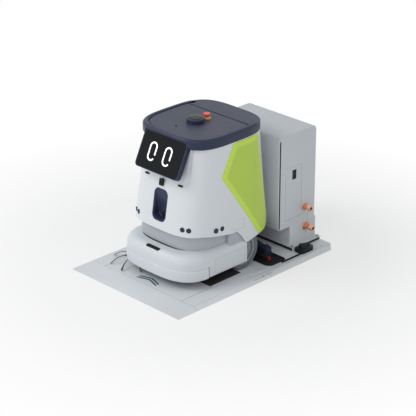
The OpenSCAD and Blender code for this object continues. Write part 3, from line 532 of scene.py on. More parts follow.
def metallic(name, colour, roughness=0.3, stretch=(1.0, 1.0, 12.0), tarnish=0.2):
    """Metal: fine turned lines and cloudy tarnish."""
    f = Finish(name, Metallic=1.0)
    lines, cloud = f.noise(700.0, 2.0, stretch), f.noise(55.0, 4.0)
    f.link("Base Color", f.blend(cloud, shade(colour, 1 - tarnish), shade(colour, 1 + tarnish * 0.3)))
    f.link("Roughness", roughness - 0.06 + cloud * 0.14 + lines * 0.08)
    f.bump(lines, 0.12, 0.0003)
    return f.material


def dark_glass(name, colour, roughness=0.08):
    """Black glass: a glossy dark body, with faint wiped smears."""
    f = Finish(name, Specular_IOR_Level=0.14)
    smear = f.noise(18.0, 5.0, (1.0, 3.0, 1.0))
    f.link("Base Color", f.blend(smear, shade(colour, 0.8), shade(colour, 1.25)))
    f.link("Roughness", roughness + smear * 0.1)
    return f.material


def glowing(name, colour, strength):
    """A lit segment, a little brighter in its middle parts."""
    f = Finish(name, Emission_Strength=strength, Roughness=0.4)
    cloud = f.noise(90.0, 2.0)
    tone = f.blend(cloud, shade(colour, 0.96), colour)
    f.link("Base Color", tone)
    f.link("Emission Color", tone)
    return f.material


def station_paint(colour, dark):
    """The plate's coat: orange peel, scuffs on the ramp, a dashed guide line, the joint between halves, painted
    shade along the folds and painted shade in the well.
    """
    f = Finish("station_paint")
    x, y, z = f.axes()
    front = float(STATION[1]) * MM
    along = y - front
    dashes = (along * 88.0).part().below(0.62) * along.above(0.108) * along.below(0.303)
    guide = (x.size() - 0.2495).size().below(0.0014) * dashes
    joint = (along - 0.588).size().below(0.0009)
    # Painted shade: thin dark lines along the plate's side bends and the ramp's folds.
    fold_painted_shade = (x.size() - 0.3235).size().below(0.001) * along.above(0.116)
    fold_painted_shade = fold_painted_shade + (along - 0.1152).size().below(0.0012) + (along - 0.176).size().below(0.0007) * 0.5
    slot = (x - 0.331).size().below(0.0011) * along.above(0.489) * along.below(0.613)
    screw = ((x - 0.331) ** 2 + (along - 0.551) ** 2).below(0.0000144)
    # The dark lines mix the printed guide, joint, slot and screw with the painted shade of the folds.
    lines = (guide * 0.95 + joint * 0.5 + fold_painted_shade * 0.34 + slot * 0.75 + screw * 0.8).clipped()
    peel = f.noise(420.0, 2.0)
    scuff = f.noise(45.0, 6.0, (0.25, 1.0, 1.0))
    worn = ((scuff - 0.6) * 5.0).clipped()
    slow = f.noise(3.0, 3.0)
    paint = f.blend(slow - worn * 0.3, shade(colour, 0.965), shade(colour, 1.03))
    # Painted shade: the well's floor is painted near black, as the deep recess looks in shade.
    well_painted_shade = z.below((PLATE_TOP - 1.5) * MM) * along.above(0.625) * along.below(0.765) * x.size().below(0.3)
    f.link("Base Color", f.blend(well_painted_shade, f.blend(lines, paint, dark), linear(26, 27, 31)))
    f.link("Roughness", 0.5 + worn * 0.15 + peel * 0.05)
    f.bump(peel * 0.3 - lines, 0.3, 0.0006)
    return f.material


def ribbed_mat(colour):
    """The rubber mats: fine ribs across, with dust between them."""
    f = Finish("mat_rubber")
    _, y, _ = f.axes()
    ribs = (y * 1570.0).wave() * 0.5 + 0.5
    dust = f.noise(60.0, 5.0)
    f.link("Base Color", f.blend(dust * 0.35 * (1 - ribs), colour, shade(colour, 3.0)))
    f.link("Roughness", 0.7 + dust * 0.15)
    f.bump(ribs, 0.6, 0.0006)
    return f.material


def bristly(name, colour, scale=2600.0):
    """Nylon bristle: glossy filaments that differ a little in tone."""
    f = Finish(name)
    strand = f.noise(scale, 2.0)
    f.link("Base Color", f.blend(strand, shade(colour, 0.6), shade(colour, 1.5)))
    f.link("Roughness", 0.35 + strand * 0.25)
    return f.material


FINISHES = {}


def finish(key):
    """The material of that name, made when first asked for."""
    look = bpy.context.scene.cleaner_finish
    makers = {
        "shell": lambda: moulded("shell_plastic", look.shell[:], 0.36, coat=0.15),
        "deck": lambda: moulded("deck_plastic", look.deck[:], 0.45),
        "rim": lambda: moulded("rim_plastic", look.rim[:], 0.36, 0.15, shine=0.3),
        "panel": lambda: moulded("panel_plastic", look.panel[:], 0.5, 0.3, 1100.0, shine=0.25),
        "green": lambda: green_with_painted_bevel_highlight(look.green[:]),
        "glass": lambda: dark_glass("display_glass", linear(20, 22, 25)),
        "eyes": lambda: glowing("eye_light", linear(255, 255, 255), 0.9),
        "black": lambda: moulded("black_plastic", linear(24, 26, 30), 0.4, 0.2, drift=0.1, shine=0.2),
        "lens": lambda: dark_glass("lens_glass", linear(12, 12, 16), 0.04),
        "cabinet": lambda: coated("cabinet_coat", look.cabinet[:]),
        "station": lambda: station_paint(look.station[:], linear(60, 64, 70)),
        # Painted shade: the neck and the wheel fenders are a darker grey than the deck, for the shadow under the
        # body's overhang.
        "neck": lambda: moulded("neck_painted_shade_plastic", linear(176, 182, 188), 0.5),
        "mat": lambda: ribbed_mat(linear(24, 24, 27)),
        "rubber": lambda: rubbery("black_rubber", linear(27, 27, 29)),
        "tyre": lambda: rubbery("tyre_rubber", linear(104, 110, 117)),
        "hub": lambda: moulded("hub_plastic", linear(150, 155, 160), 0.5),
        "steel": lambda: metallic("steel_bare", linear(170, 174, 178), 0.32),
        "dark_steel": lambda: coated("chassis_coat", linear(82, 87, 94)),
        "copper": lambda: metallic("fitting_brass", linear(226, 166, 140), 0.26, (12.0, 1.0, 1.0)),
        "marker": lambda: coated("marker_paint", linear(36, 84, 104), 0.5),
        "red": lambda: moulded("stop_plastic", linear(232, 54, 46), 0.28, 0.04, coat=0.4),
        "yellow": lambda: moulded("collar_plastic", linear(222, 178, 92), 0.45),
        "red_rubber": lambda: rubbery("blade_rubber", linear(196, 48, 34), 0.55),
        "navy": lambda: moulded("bracket_plastic", linear(38, 43, 66), 0.42, 0.2, shine=0.25),
        "blue_bristle": lambda: bristly("roller_bristle", linear(48, 94, 158)),
        "black_bristle": lambda: bristly("brush_bristle", linear(24, 25, 28)),
        "tank": lambda: moulded("tank_plastic", linear(160, 196, 216), 0.3, 0.05),
        "waste": lambda: moulded("waste_tank_plastic", linear(112, 123, 134), 0.4, 0.1),
    }
    if key not in FINISHES:
        FINISHES[key] = makers[key]()
    return FINISHES[key]


# ---- Settings ----

def length(name, description, default, low, high):
    """A size setting in millimetres."""
    return bpy.props.FloatProperty(name=name, description=description, default=default, min=low, max=high)


def colour(name, description, *rgb):
    """A colour setting, its default given as display values."""
    return bpy.props.FloatVectorProperty(name=name, description=description, subtype="COLOR", size=4,
                                         default=linear(*rgb), min=0, max=1)


class CleanerSizes(bpy.types.PropertyGroup):
    shell_wall: length("Shell wall", "Wall of the body, mm", 4.0, 2.0, 6.0)
    scoop: length("Display scoop", "Depth of the zone round the display, mm", 3.5, 0.0, 6.0)
    panel_bevel: length("Side panel bevel", "Width of its bevel, mm", 21.0, 2.0, 26.0)
    rim_round: length("Edge rounding", "Rounding of small plates, mm", 1.2, 0.3, 3.0)
    bristles: bpy.props.IntProperty(name="Bristles", description="Bristles in each tuft",
                                    default=11, min=3, max=30)


class CleanerFinish(bpy.types.PropertyGroup):
    shell: colour("Shell", "Body colour", 222, 226, 230)
    deck: colour("Deck", "Deck and bumper colour", 214, 219, 223)
    rim: colour("Rim", "Rim and display housing", 40, 48, 74)
    panel: colour("Top panel", "Top panel and lid", 72, 77, 92)
    green: colour("Side panels", "Raised side panels", 184, 213, 74)
    cabinet: colour("Cabinet", "Station cabinet", 203, 208, 212)
    station: colour("Station", "Station plate", 219, 223, 227)


# ---- Pieces ----

def skirt(y):
    """Height of the body's lower edge along its length: level, an S-curve down behind the neck, a slow rise."""
    front = 210 + 27 * np.clip((-41 - y) / 160, 0, 1)
    drop = 210 - 73 * (0.5 - 0.5 * np.cos(np.pi * np.clip((y + 9) / 71, 0, 1)))
    rear = 137 + 26 * np.clip((y - 62) / 170, 0, 1)
    return np.where(y < -9, front, np.where(y < 62, drop, rear))


def scoop_depth(x, z, depth):
    """Depth of the shallow zone round the display: a smooth step over the distance to a rounded rectangle."""
    reach, low, corner = 150.0, 452.0, 45.0
    away = np.hypot(np.maximum(np.abs(x) - reach + corner, 0), np.maximum(low + corner - z, 0)) - corner
    return depth * smoothstep(0, -5, away)


def body_shell(sizes):
    """Superellipse loft between the curved lower edge and the rim, outside then inside, closed both ways."""
    angle = np.linspace(0, 2 * math.pi, 320, endpoint=False)
    edge = np.full(angle.shape, 200.0)
    for _ in range(6):
        edge = skirt(shell_point(angle, edge)[:, 1])
    rows = [(k, 0.0) for k in np.linspace(0, 1, 60)]
    lip = 1.0
    profile = [(0.0, -lip)] + rows + [(1.0, -sizes.shell_wall), (0.0, -sizes.shell_wall)]
    grid = []
    for share, offset in profile:
        z = edge + (SHELL_TOP_Z - edge) * share
        z = z + (lip if (share == 0 and offset == 0) else 0)
        points = shell_point(angle, z, offset)
        sunk = scoop_depth(points[:, 0], points[:, 2], sizes.scoop) * (points[:, 1] < -100)
        points[:, 1] += sunk
        grid.append(points)
    shell = surface("body_shell.loft", placed(ROBOT)(np.array(grid)), close_u=True, close_v=True)
    tools = [display_cutter(), cutter(rounded(86.8, 151.8, 28.4), -20, 20, on_front(RECESS_Z)),
             cutter(rounded(70, 44, 9), -12, 12, flap_place())]
    tools += [cutter(rounded(26.8, 8.8, 4.3), -20, 20, light_place(s)) for s in (-1, 1)]
    tools.append(joined("t", [round_cutter(11.7, -20, 20, p) for p in sonar_places()]))
    back = cutter(rounded(104, 48, 1), -30, 30, placed(ROBOT, (0, 250, 207), (1, 0, 0), (0, 0, 1)))
    cut(shell, *tools, back, crease=28)
    return settle(shell, "chassis", "shell_white", finish("shell"), "body_shell")


def flap_place():
    """Local frame of the service flap: right is toward the rear, up is up the side, out is +X."""
    low, high = box_mm("port_flap")
    lean = math.atan((SHELL_WIDE[0] - SHELL_NARROW[0]) / (SHELL_TOP_Z - SHELL_WIDE_Z))
    top = high[2] - ROBOT[2]
    half_x = float(shell_level(top)[0])
    up = (-math.sin(lean), 0, math.cos(lean))
    start = np.array([half_x, (low[1] + high[1]) / 2 - ROBOT[1], top]) - 21 * np.array(up)
    return placed(ROBOT, start, (0, 1, 0), up)


def light_place(side):
    """Local frame of a front lamp."""
    return placed(ROBOT, np.array([side * LIGHTS_X, 0, 0]) + (on_front(LIGHTS_Z)([0, -4, -3.5]) / MM - ROBOT),
                  (1, 0, 0), (0, math.sin(FRONT_LEAN), math.cos(FRONT_LEAN)))


def sonar_places():
    """Local frames of the round distance sensors, each turned out of the shell."""
    places = []
    for side in (-1, 1):
        for x, z, turn in ((141, 270, -74), (168, 270, -66)):
            _, half_y, mid = shell_level(z)
            y = mid - half_y + (13 if x == 141 else 26)
            places.append(sonar_place(side, x, y, z, turn))
        places.append(sonar_place(side, SHELL_WIDE[0] - 2, -136, 254, 0))
        places.append(sonar_place(side, SHELL_WIDE[0] - 1.6, -100, 254, 0))
    return places


def sonar_place(side, x, y, z, turn):
    """One sensor's frame: its out axis points along the turned direction in plan."""
    a = math.radians(turn)
    out = np.array([side * math.cos(a), math.sin(a), 0])
    return placed(ROBOT, (side * x, y, z), np.cross(UP, out), UP)


def sonar_sensors():
    """Turned bezels with a sunk grille and a domed middle."""
    profile = [(0, -14), (11.4, -14), (11.4, 0.2), (11.0, 0.9), (10.2, 1.1), (9.4, 0.7), (8.8, -0.8),
               (7.2, -0.9), (6.6, 0.0), (4.5, 0.5), (2.2, 0.8), (0, 0.9)]
    piece = joined("sonar_sensors.turned", [lathe("s", profile, p, 48) for p in sonar_places()])
    return settle(tidy_mesh(piece), "chassis", "rim_navy", finish("rim"), "sonar_sensors")


def deck_line(offset, y_end, step=180):
    """Deck outline from the right rear corner, round the squared oval front, to the left rear corner."""
    turn = np.linspace(math.pi, 2 * math.pi, step)
    x, y = superellipse(turn, DECK_HALF + offset, -DECK_LOW[1] + DECK_MID + offset, DECK_SQUARENESS)
    straight = np.linspace(y_end, DECK_MID, DECK_SIDE_POINTS + 1)[:-1]
    left = np.stack([np.full(DECK_SIDE_POINTS, -DECK_HALF - offset), straight], -1)
    right = np.stack([np.full(DECK_SIDE_POINTS, DECK_HALF + offset), straight[::-1]], -1)
    return np.concatenate([left, np.stack([x, y + DECK_MID], -1), right])


def deck_front(offset, step=180):
    """The deck outline without its straight sides."""
    return deck_line(offset, DECK_MID, step)[DECK_SIDE_POINTS:-DECK_SIDE_POINTS]


def lower_deck():
    """Outer wall, a quarter-ellipse shoulder of 40 by 45 mm, a flat shelf, and the same again 3 mm inside."""
    top = DECK_HIGH[2]
    bend = np.linspace(0, math.pi / 2, 15)
    outside = [(0, DECK_LOW[2]), (0, 80)]
    outside += [(-40 * (1 - math.cos(a)), top - 45 + 45 * math.sin(a)) for a in bend]
    outside += [(-52, top), (-64, top)]
    inside = [(-64, top - 3), (-52, top - 3)]
    inside += [(-3 - 38 * (1 - math.cos(a)), top - 48 + 45 * math.sin(a)) for a in bend[::-1]]
    inside += [(-3, 80), (-3, DECK_LOW[2])]
    grid = np.stack([lifted(deck_line(offset, DECK_HIGH[1]), z) for offset, z in outside + inside], 1)
    piece = surface("lower_deck.shell", placed(ROBOT)(grid), close_v=True, crease=30.0)
    ring = deck_front(20, 60)
    front = ring[ring[:, 1] < -176]
    tools = [cutter(front, DECK_LOW[2] - 3, 92.4, placed(ROBOT)),
             cutter(rounded(87, 18, 8.8), 100, 220, placed(ROBOT, (0, -303, 0)))]
    low, high = (c - ROBOT for c in box_mm("brush_door_left"))
    for side in (-1, 1):
        at = placed(ROBOT, (side * DECK_HALF, (low[1] + high[1]) / 2, (low[2] + high[2]) / 2), (0, 1, 0), UP)
        tools.append(cutter(rounded(high[1] - low[1] + 2, high[2] - low[2] + 2, 7), -9, 9, at))
    axle = placed(middle("tyre_left") * (0, 1, 1), (0, 0, 0), (0, 1, 0), UP)
    tools.append(round_cutter(100, -221, 221, axle, 96))
    cut(piece, *tools, crease=28)
    return settle(piece, "chassis", "deck_white", finish("deck"), "lower_deck")


def fenders():
    """A thin wall over each wheel: an L in plan with a rounded corner, 3 mm thick, carried straight up."""
    bend = np.linspace(0, math.pi / 2, 9)
    for side, name in ((1, "wheel_fender_left"), (-1, "wheel_fender_right")):
        wall = []
        for inward in (0.0, 3.0):
            corner = np.stack([216 + (10 - inward) * np.sin(bend), -36 - (10 - inward) * np.cos(bend)], -1)
            wall.append(np.concatenate([[(199, -46 + inward)], corner, [(226 - inward, 44)]]))
        ring = np.concatenate([wall[0], wall[1][::-1]]) * (side, 1)
        grid = np.array([lifted(ring, z) for z in (149.5, 165, 185, 208)])
        piece = surface(name, placed(ROBOT)(grid), close_v=True)
        # Painted shade: the fenders take the neck's darker grey, for the shadow under the body.
        settle(piece, "chassis", "deck_white", finish("neck"))


def front_bumper():
    """A padded band with a chamfered top and a rolled lower edge, carried round the deck's front."""
    low, high = (c - ROBOT for c in box_mm("front_bumper"))
    z0, z1 = low[2], high[2]
    profile = [(-6, z0 + 2), (-5, z0), (0.5, z0), (2.6, z0 + 1), (3.8, z0 + 4), (4, z0 + 8), (4, z1 - 9),
               (3.6, z1 - 5), (2, z1 - 1.5), (0, z1 - 0.3), (-1.5, z1), (-6, z1)]
    grid = np.stack([lifted(deck_front(offset), z) for offset, z in profile], 1)
    inside = grid[:, 0, 1] < high[1]
    first, last = np.argmax(inside), len(inside) - np.argmax(inside[::-1])
    piece = surface("front_bumper.band", placed(ROBOT)(grid[first:last]), close_v=True)
    return settle(piece, "bumper", "deck_white", finish("deck"), "front_bumper")


def rim_band(angle, profile):
    """A profile of (offset, height) carried along the rim's superellipse: grid of (angle, profile, xyz)."""
    grid = []
    for offset, z in profile:
        x, y = superellipse(angle, RIM_HIGH[0] + offset, -RIM_LOW[1] + offset, SQUARENESS)
        grid.append(np.stack([x, y, np.full(len(x), z)], -1))
    return np.stack(grid, 1)


def top_rim():
    """A rounded band carried round the rim's superellipse as far as the rear lid, with a ledge inside."""
    z0, z1 = RIM_LOW[2], RIM_HIGH[2]
    ledge = PANEL_LOW[2] - 0.3
    quarter = math.pi / 2
    crown = [(-22 + 11 * (1 - math.cos(a)), z1 - 7 + 7 * math.sin(a)) for a in np.linspace(0, quarter, 6)]
    outer = [(-11 * (1 - math.cos(a)), z1 - 13 + 13 * math.sin(a)) for a in np.linspace(0, quarter, 9)]
    profile = [(-33, z0), (-2.2, z0), (-0.8, z0 + 2.5), (0, z0 + 7), (0, z1 - 16)] + outer + crown[::-1]
    profile += [(-22, ledge), (-33, ledge)]
    angle = np.linspace(0.0, 2 * math.pi, 420, endpoint=False) + math.pi / 2
    grid = rim_band(angle, profile)
    front = grid[:, 4, 1] < RIM_HIGH[1]
    piece = surface("top_rim.band", placed(ROBOT)(grid[front]), close_v=True)
    cut(piece, display_cutter())
    return settle(piece, "chassis", "rim_navy", finish("rim"), "top_rim")


def oval_part(half_x, half_y, y_from, y_to, steps=300):
    """The part of a superellipse between two values of y, as an anticlockwise outline closed by straight lines."""
    angle = np.linspace(-math.pi / 2, 1.5 * math.pi, steps, endpoint=False)
    x, y = superellipse(angle, half_x, half_y, SQUARENESS)
    line = np.stack([x, y], -1)[(y > y_from) & (y < y_to)]
    turn = np.arctan2(line[:, 1] - (max(y_from, -half_y) + min(y_to, half_y)) / 2, line[:, 0])
    return line[np.argsort(turn)]


def top_panel(sizes):
    """The flat panel inside the rim, cut straight at the lid's joint and holed for what stands on it."""
    half_x, half_y = RIM_HIGH[0] - 26.4, -RIM_LOW[1] - 26.4
    outline = oval_part(half_x, half_y, -half_y * 2, PANEL_HIGH[1] - 1.0)
    piece = slab("top_panel.plate", outline, PANEL_LOW[2], PANEL_HIGH[2], placed(ROBOT), sizes.rim_round, 0.3)
    tools = []
    for node, radius in (("estop_button", 9.6), ("lidar_head", 6.0), ("panel_button", 5.6)):
        x, y, _ = middle(node) - ROBOT
        tools.append(round_cutter(radius, 600, 800, placed(ROBOT, (x, y, 0))))
    cut(piece, *tools)
    return settle(piece, "chassis", "panel_slate", finish("panel"), "top_panel")


def rear_lid():
    """The lid's flat top, a rounded skirt round the rear of the rim's superellipse, and the hinge knuckles."""
    low, high = (c - ROBOT for c in box_mm("rear_lid"))
    half_x, half_y = RIM_HIGH[0], -RIM_LOW[1]
    step = RIM_HIGH[1] + 0.5
    z1 = PANEL_HIGH[2]
    rear = oval_part(half_x, half_y, step, 900)
    inner = oval_part(half_x - 24.8, half_y - 24.8, low[1] + 1.0, step)
    right = inner[inner[:, 0] > 0]
    left = inner[inner[:, 0] < 0]
    right, left = right[np.argsort(right[:, 1])], left[np.argsort(-left[:, 1])]
    rear = rear[np.argsort(np.arctan2(rear[:, 1] - step + 60, rear[:, 0]))]
    outline = np.concatenate([right, rear, left])
    top = slab("lid_top", outline, z1 - 4, z1, placed(ROBOT), 3.0, 0.3)
    bend = [(-9 * (1 - math.cos(a)), z1 - 9.2 + 9 * math.sin(a)) for a in np.linspace(0, 1.45, 7)]
    profile = [(-8, RIM_LOW[2]), (-2.2, RIM_LOW[2]), (-0.8, RIM_LOW[2] + 2.5), (0, RIM_LOW[2] + 7)] + bend
    profile += [(-12, z1 - 4.5), (-8, z1 - 12)]
    angle = np.linspace(0, math.pi, 240)
    grid = rim_band(angle, profile)
    grid[..., 1] = np.maximum(grid[..., 1], step)
    keep = grid[:, 3, 1] > step
    wall = surface("lid_wall", placed(ROBOT)(grid[keep]), close_v=True)
    ring = [(3.1, -10), (7, -10), (7, 10), (3.1, 10), (3.1, -10)]
    knuckles = [lathe("k", ring, placed(ROBOT, (x, high[1] - 7, low[2] + 7), (0, 1, 0), UP), 40)
                for x in (-90, 90)]
    arms = [slab("k", rounded(20, 9, 1), low[2] + 13, low[2] + 26, placed(ROBOT, (x, high[1] - 12.5, 0)),
                 0.5, 0.5) for x in (-90, 90)]
    piece = joined("rear_lid.cover", [top, wall] + arms + knuckles)
    return settle(tidy_mesh(piece), "lid", "panel_slate", finish("panel"), "rear_lid")


def display():
    """Housing with a soft rim, a pocketed black glass and two lit ovals, each drawn as one open stroke."""
    wide, tall, deep = DISPLAY_SIZE
    house = slab("display_housing.case", rounded(wide, tall, 18, 14), -deep, 0, on_display(), 3.5, 2.0,
                 (4.8, 1.3))
    wedge = eased_copy("display_housing")
    house = joined("display_housing.case", [house, wedge])
    settle(house, "chassis", "rim_navy", finish("rim"), "display_housing")
    pane = rounded(wide - 10.4, tall - 10.4, 14.8, 14)
    glass = slab("display_glass.pane", pane, -1.2, 0.1, on_display(), 0.8, 0.1)
    settle(glass, "chassis", "glass_black", finish("glass"), "display_glass")
    eyes = [slab("e", eye_stroke(38, 80, 18, 7), 0.1, 0.6, shifted(on_display(), x, -1), 0.25, 0)
            for x in EYE_PLACES]
    settle(tidy_mesh(joined("display_eyes.lit", eyes)), "chassis", "eye_white", finish("eyes"), "display_eyes")


def shifted(place, x, y):
    """A local frame moved along its first two axes."""
    return lambda points: place(np.asarray(points, float) + np.array([x, y, 0.0]))


def eye_stroke(width, height, radius, stroke, gap=15.0):
    """Outline of a band along a rounded rectangle, open for a gap at its lower right, with round ends."""
    line = rounded(width, height, radius, 14)
    line = np.concatenate([line, line[:1]])
    length = np.concatenate([[0], np.cumsum(np.linalg.norm(np.diff(line, axis=0), axis=1))])
    total = length[-1]
    start = total - (height / 2 - radius) - math.pi * radius / 2 + 6
    travel = (np.linspace(0, total - gap - stroke, 120) + start + gap / 2 + stroke / 2) % total
    path = np.stack([np.interp(travel, length, line[:, k]) for k in (0, 1)], -1)
    along = np.gradient(path, axis=0)
    along /= np.linalg.norm(along, axis=1, keepdims=True)
    side = np.stack([along[:, 1], -along[:, 0]], -1) * stroke / 2
    cap = np.linspace(-math.pi / 2, math.pi / 2, 9)[1:-1, None]
    tip = path[-1] + along[-1] * stroke / 2 * np.cos(cap) - side[-1] * np.sin(cap)
    tail = path[0] - along[0] * stroke / 2 * np.cos(cap) + side[0] * np.sin(cap)
    return np.concatenate([path + side, tip, (path - side)[::-1], tail])


def side_panels(sizes):
    """A rounded polygon in side view, shrunk toward its middle in rings, each laid on the shell at its height."""
    corners = np.array([[-13, 632], [152, 632], [221, 190], [204, 158], [139, 152], [-93, 490]], float)
    radii = [26, 8, 20, 20, 26, 30]
    line = []
    for k, r in enumerate(radii):
        p, a, b = corners[k], corners[k - 1] - corners[k], corners[(k + 1) % 6] - corners[k]
        la, lb = np.linalg.norm(a), np.linalg.norm(b)
        half = math.acos(np.dot(a, b) / la / lb) / 2
        t = min(r / math.tan(half), 0.45 * la, 0.45 * lb)
        f = np.linspace(0, 1, 12)[:, None]
        line.append(p + a / la * t * (1 - f) ** 2 + b / lb * t * f ** 2)
    line = np.concatenate(line)[::-1]
    line = resampled(line, 260)
    middle_point = np.array([95.0, 430.0])
    high = 8.5
    bevel = sizes.panel_bevel
    rings = [(0.0, 0.3), (0.0, 2.0), (0.8, 2.9)]
    rings += [(0.8 + (bevel - 0.8) * t, 2.9 + (high - 2.9) * t) for t in (0.2, 0.4, 0.6, 0.8)]
    rings += [(bevel, high - 0.05), (bevel + 1.2, high), (bevel + 3, high)]
    outlines = [(inset(line, d), h) for d, h in rings]
    core = inset(line, bevel + 3)
    for t in np.linspace(0.92, 0.0, 24):
        outlines.append((middle_point + (core - middle_point) * t, high))
    for t in np.linspace(0.0, 1.0, 12):
        outlines.append((middle_point + (line - middle_point) * t, 0.3))
    for side, name in ((1, "side_panel_left"), (-1, "side_panel_right")):
        grid = np.array([side_skin(points, h, side) for points, h in outlines])
        piece = surface(name + ".skin", placed(ROBOT)(grid), close_u=True, close_v=True, crease=13)
        spots = np.empty(len(piece.data.vertices) * 3)
        piece.data.vertices.foreach_get("co", spots)
        away = outline_distance(spots.reshape(-1, 3)[:, 1:] / MM - ROBOT[1:], line)
        # The edge attribute is 1 over the bevel, where the side panel material paints a highlight.
        edge = piece.data.attributes.new("edge", "FLOAT", "POINT")
        edge.data.foreach_set("value", smoothstep(bevel + 2, bevel - 3, away))
        settle(piece, "chassis", "green", finish("green"), name)


def outline_distance(points, line):
    """Distance of each point to the nearest point of a densely sampled outline."""
    dense = resampled(line, 900)
    return np.sqrt(((points[:, None] - dense[None]) ** 2).sum(-1).min(1))


def resampled(line, count):
    """The closed outline at evenly spaced points."""
    loop = np.concatenate([line, line[:1]])
    length = np.concatenate([[0], np.cumsum(np.linalg.norm(np.diff(loop, axis=0), axis=1))])
    travel = np.linspace(0, length[-1], count, endpoint=False)
    return np.stack([np.interp(travel, length, loop[:, k]) for k in (0, 1)], -1)


def side_skin(points, height, side):
    """Points at (y, z) on the shell's side, raised along the outline's normal in plan by a height."""
    y, z = points[:, 0], points[:, 1]
    half_x, half_y, mid = shell_level(z)
    share = np.clip(np.abs(y - mid) / half_y, 0, 0.999)
    x = half_x * (1 - share ** SQUARENESS) ** (1 / SQUARENESS)
    nx = (x / half_x) ** (SQUARENESS - 1) / half_x
    ny = np.sign(y - mid) * share ** (SQUARENESS - 1) / half_y
    size = np.hypot(nx, ny)
    return np.stack([side * (x + nx / size * height), y + ny / size * height, z], -1)


def sensor_recess():
    """A pill-shaped insert: a rolled flange, then a floor whose depth grows from the top to the foot."""
    place = on_front(RECESS_Z)
    line = rounded(86, 151, 28, 14)
    rings = [(0, -36), (0, -1.0), (0.5, 0.2), (1.4, 0.7), (3.0, 0.7), (4.2, 0.3), (4.8, -0.8)]
    grid = [lifted(inset(line, d), z) for d, z in rings]
    core = inset(line, 5)
    for t in np.concatenate([np.linspace(1, 0.8, 8)[1:], np.linspace(0.8, 0, 14)[1:]]):
        points = core * t
        fall = 2 + 29 * smoothstep(62, -34, points[:, 1])
        grid.append(np.column_stack([points, -0.8 - fall * smoothstep(1.0, 0.8, np.full(len(points), t))]))
    piece = surface("sensor_recess.scoop", place(np.array(grid)), close_v=True, crease=50)
    settle(piece, "chassis", "rim_navy", finish("rim"), "sensor_recess")
    lens_at = shifted(place, 12, -44)
    ring = [(0, -31.5), (15, -31.5), (15, -27), (14, -26), (12.4, -26), (11.6, -24), (11, -20.6), (9.6, -20),
            (8.6, -22), (6, -20.6), (3, -19.8), (0, -19.6)]
    settle(lathe("recess_lens.turned", ring, lens_at), "chassis", "glass_black", finish("lens"), "recess_lens")


def small_front_parts():
    """Camera block under the display, slot lamps beside it and the line sensor's window in the deck."""
    body = slab("front_camera.block", rounded(22, 32, 2.5), 0.3, 11.3, on_front(454), 1.4, 0.2)
    cut(body, lathe("t", [(0, 8), (4.4, 8), (5.6, 14), (0, 14)], shifted(on_front(454), 0, 2), 40))
    eye = lathe("l", [(0, 4), (4.2, 4), (4.2, 8.2), (2, 9.2), (0, 9.4)], shifted(on_front(454), 0, 2), 40)
    settle(joined("front_camera.block", [body, eye]), "chassis", "black_plastic", finish("black"), "front_camera")
    lamps = [slab("l", rounded(26, 8, 3.9), -3, 0.6, light_place(s), 0.8, 0.2, (1.4, 1.0)) for s in (-1, 1)]
    settle(tidy_mesh(joined("front_lights.slots", lamps)), "chassis", "black_plastic", finish("black"),
           "front_lights")
    lean = math.radians(28)
    window = placed(ROBOT, (0, -304, 150), (1, 0, 0), (0, math.cos(lean), math.sin(lean)))
    pane = slab("line_sensor_window.pane", rounded(86, 19, 9.2), -10, 4.2, window, 1.4, 0.4)
    settle(pane, "chassis", "glass_black", finish("glass"), "line_sensor_window")


def on_top(node):
    """Local frame on the top panel, over the middle of a CAD node."""
    return placed(ROBOT, middle(node) * (1, 1, 0) - ROBOT * (1, 1, 0) + (0, 0, PANEL_HIGH[2]))


def top_controls():
    """Turned parts on the top panel: rotating sensor, stop button with its collar, and the small button."""
    spot = on_top("lidar_head")
    low = [(0, 0), (42, 0), (42, 5.8), (41, 7), (36, 7.2), (36, 9), (0, 9)]
    settle(lathe("lidar_base.ring", low, spot), "chassis", "rim_navy", finish("rim"), "lidar_base")
    head = [(0, 9.4), (40.5, 9.4), (42, 10.6), (42, 19), (41.2, 21.4), (39.6, 22.8), (37.5, 23.3), (34.5, 23.2),
            (33.8, 22.3), (0, 22.3)]
    settle(lathe("lidar_head.cap", head, spot), "lidar_rotor", "black_plastic", finish("rim"), "lidar_head")
    window = [(0, 22.0), (33.4, 22.0), (33.4, 22.9), (32.6, 23.3), (20, 23.5), (0, 23.6)]
    disc = lathe("lidar_head.window", window, spot)
    settle(disc, "lidar_rotor", "glass_black", finish("glass"))
    spot = on_top("estop_button")
    collar = [(8.05, -20), (9.4, -20), (9.4, 0.1), (20, 0.1), (20, 1.6), (19, 2.8), (14.4, 3.2), (13, 4), (13, 6.8),
              (12.2, 8), (8.05, 8)]
    settle(lathe("estop_collar.ring", collar + collar[:1], spot), "chassis", "yellow_plastic", finish("yellow"),
           "estop_collar")
    cap = [(0, -16), (7.9, -16), (7.9, 12.6), (14.6, 12.6), (16.2, 13.6), (16.5, 15.5), (16.4, 19), (15.2, 22),
           (12.6, 23.6), (8.5, 23.8), (4, 23.2), (0, 23.0)]
    scallops = lambda angle, k: 1 + 0.012 * np.cos(12 * angle) * ((k > 3) & (k < 9))
    settle(lathe("estop_button.cap", cap, spot, 144, scallops), "stop_button", "red_plastic", finish("red"),
           "estop_button")
    spot = on_top("panel_button")
    knob = [(0, -9), (7.4, -9), (7.4, -4.5), (5.4, -4.4), (5.4, 1.2), (4.8, 1.9), (3.6, 2.0), (2.8, 1.2), (0, 1.0)]
    settle(lathe("panel_button.cap", knob, spot, 40), "power_button", "black_plastic", finish("black"),
           "panel_button")


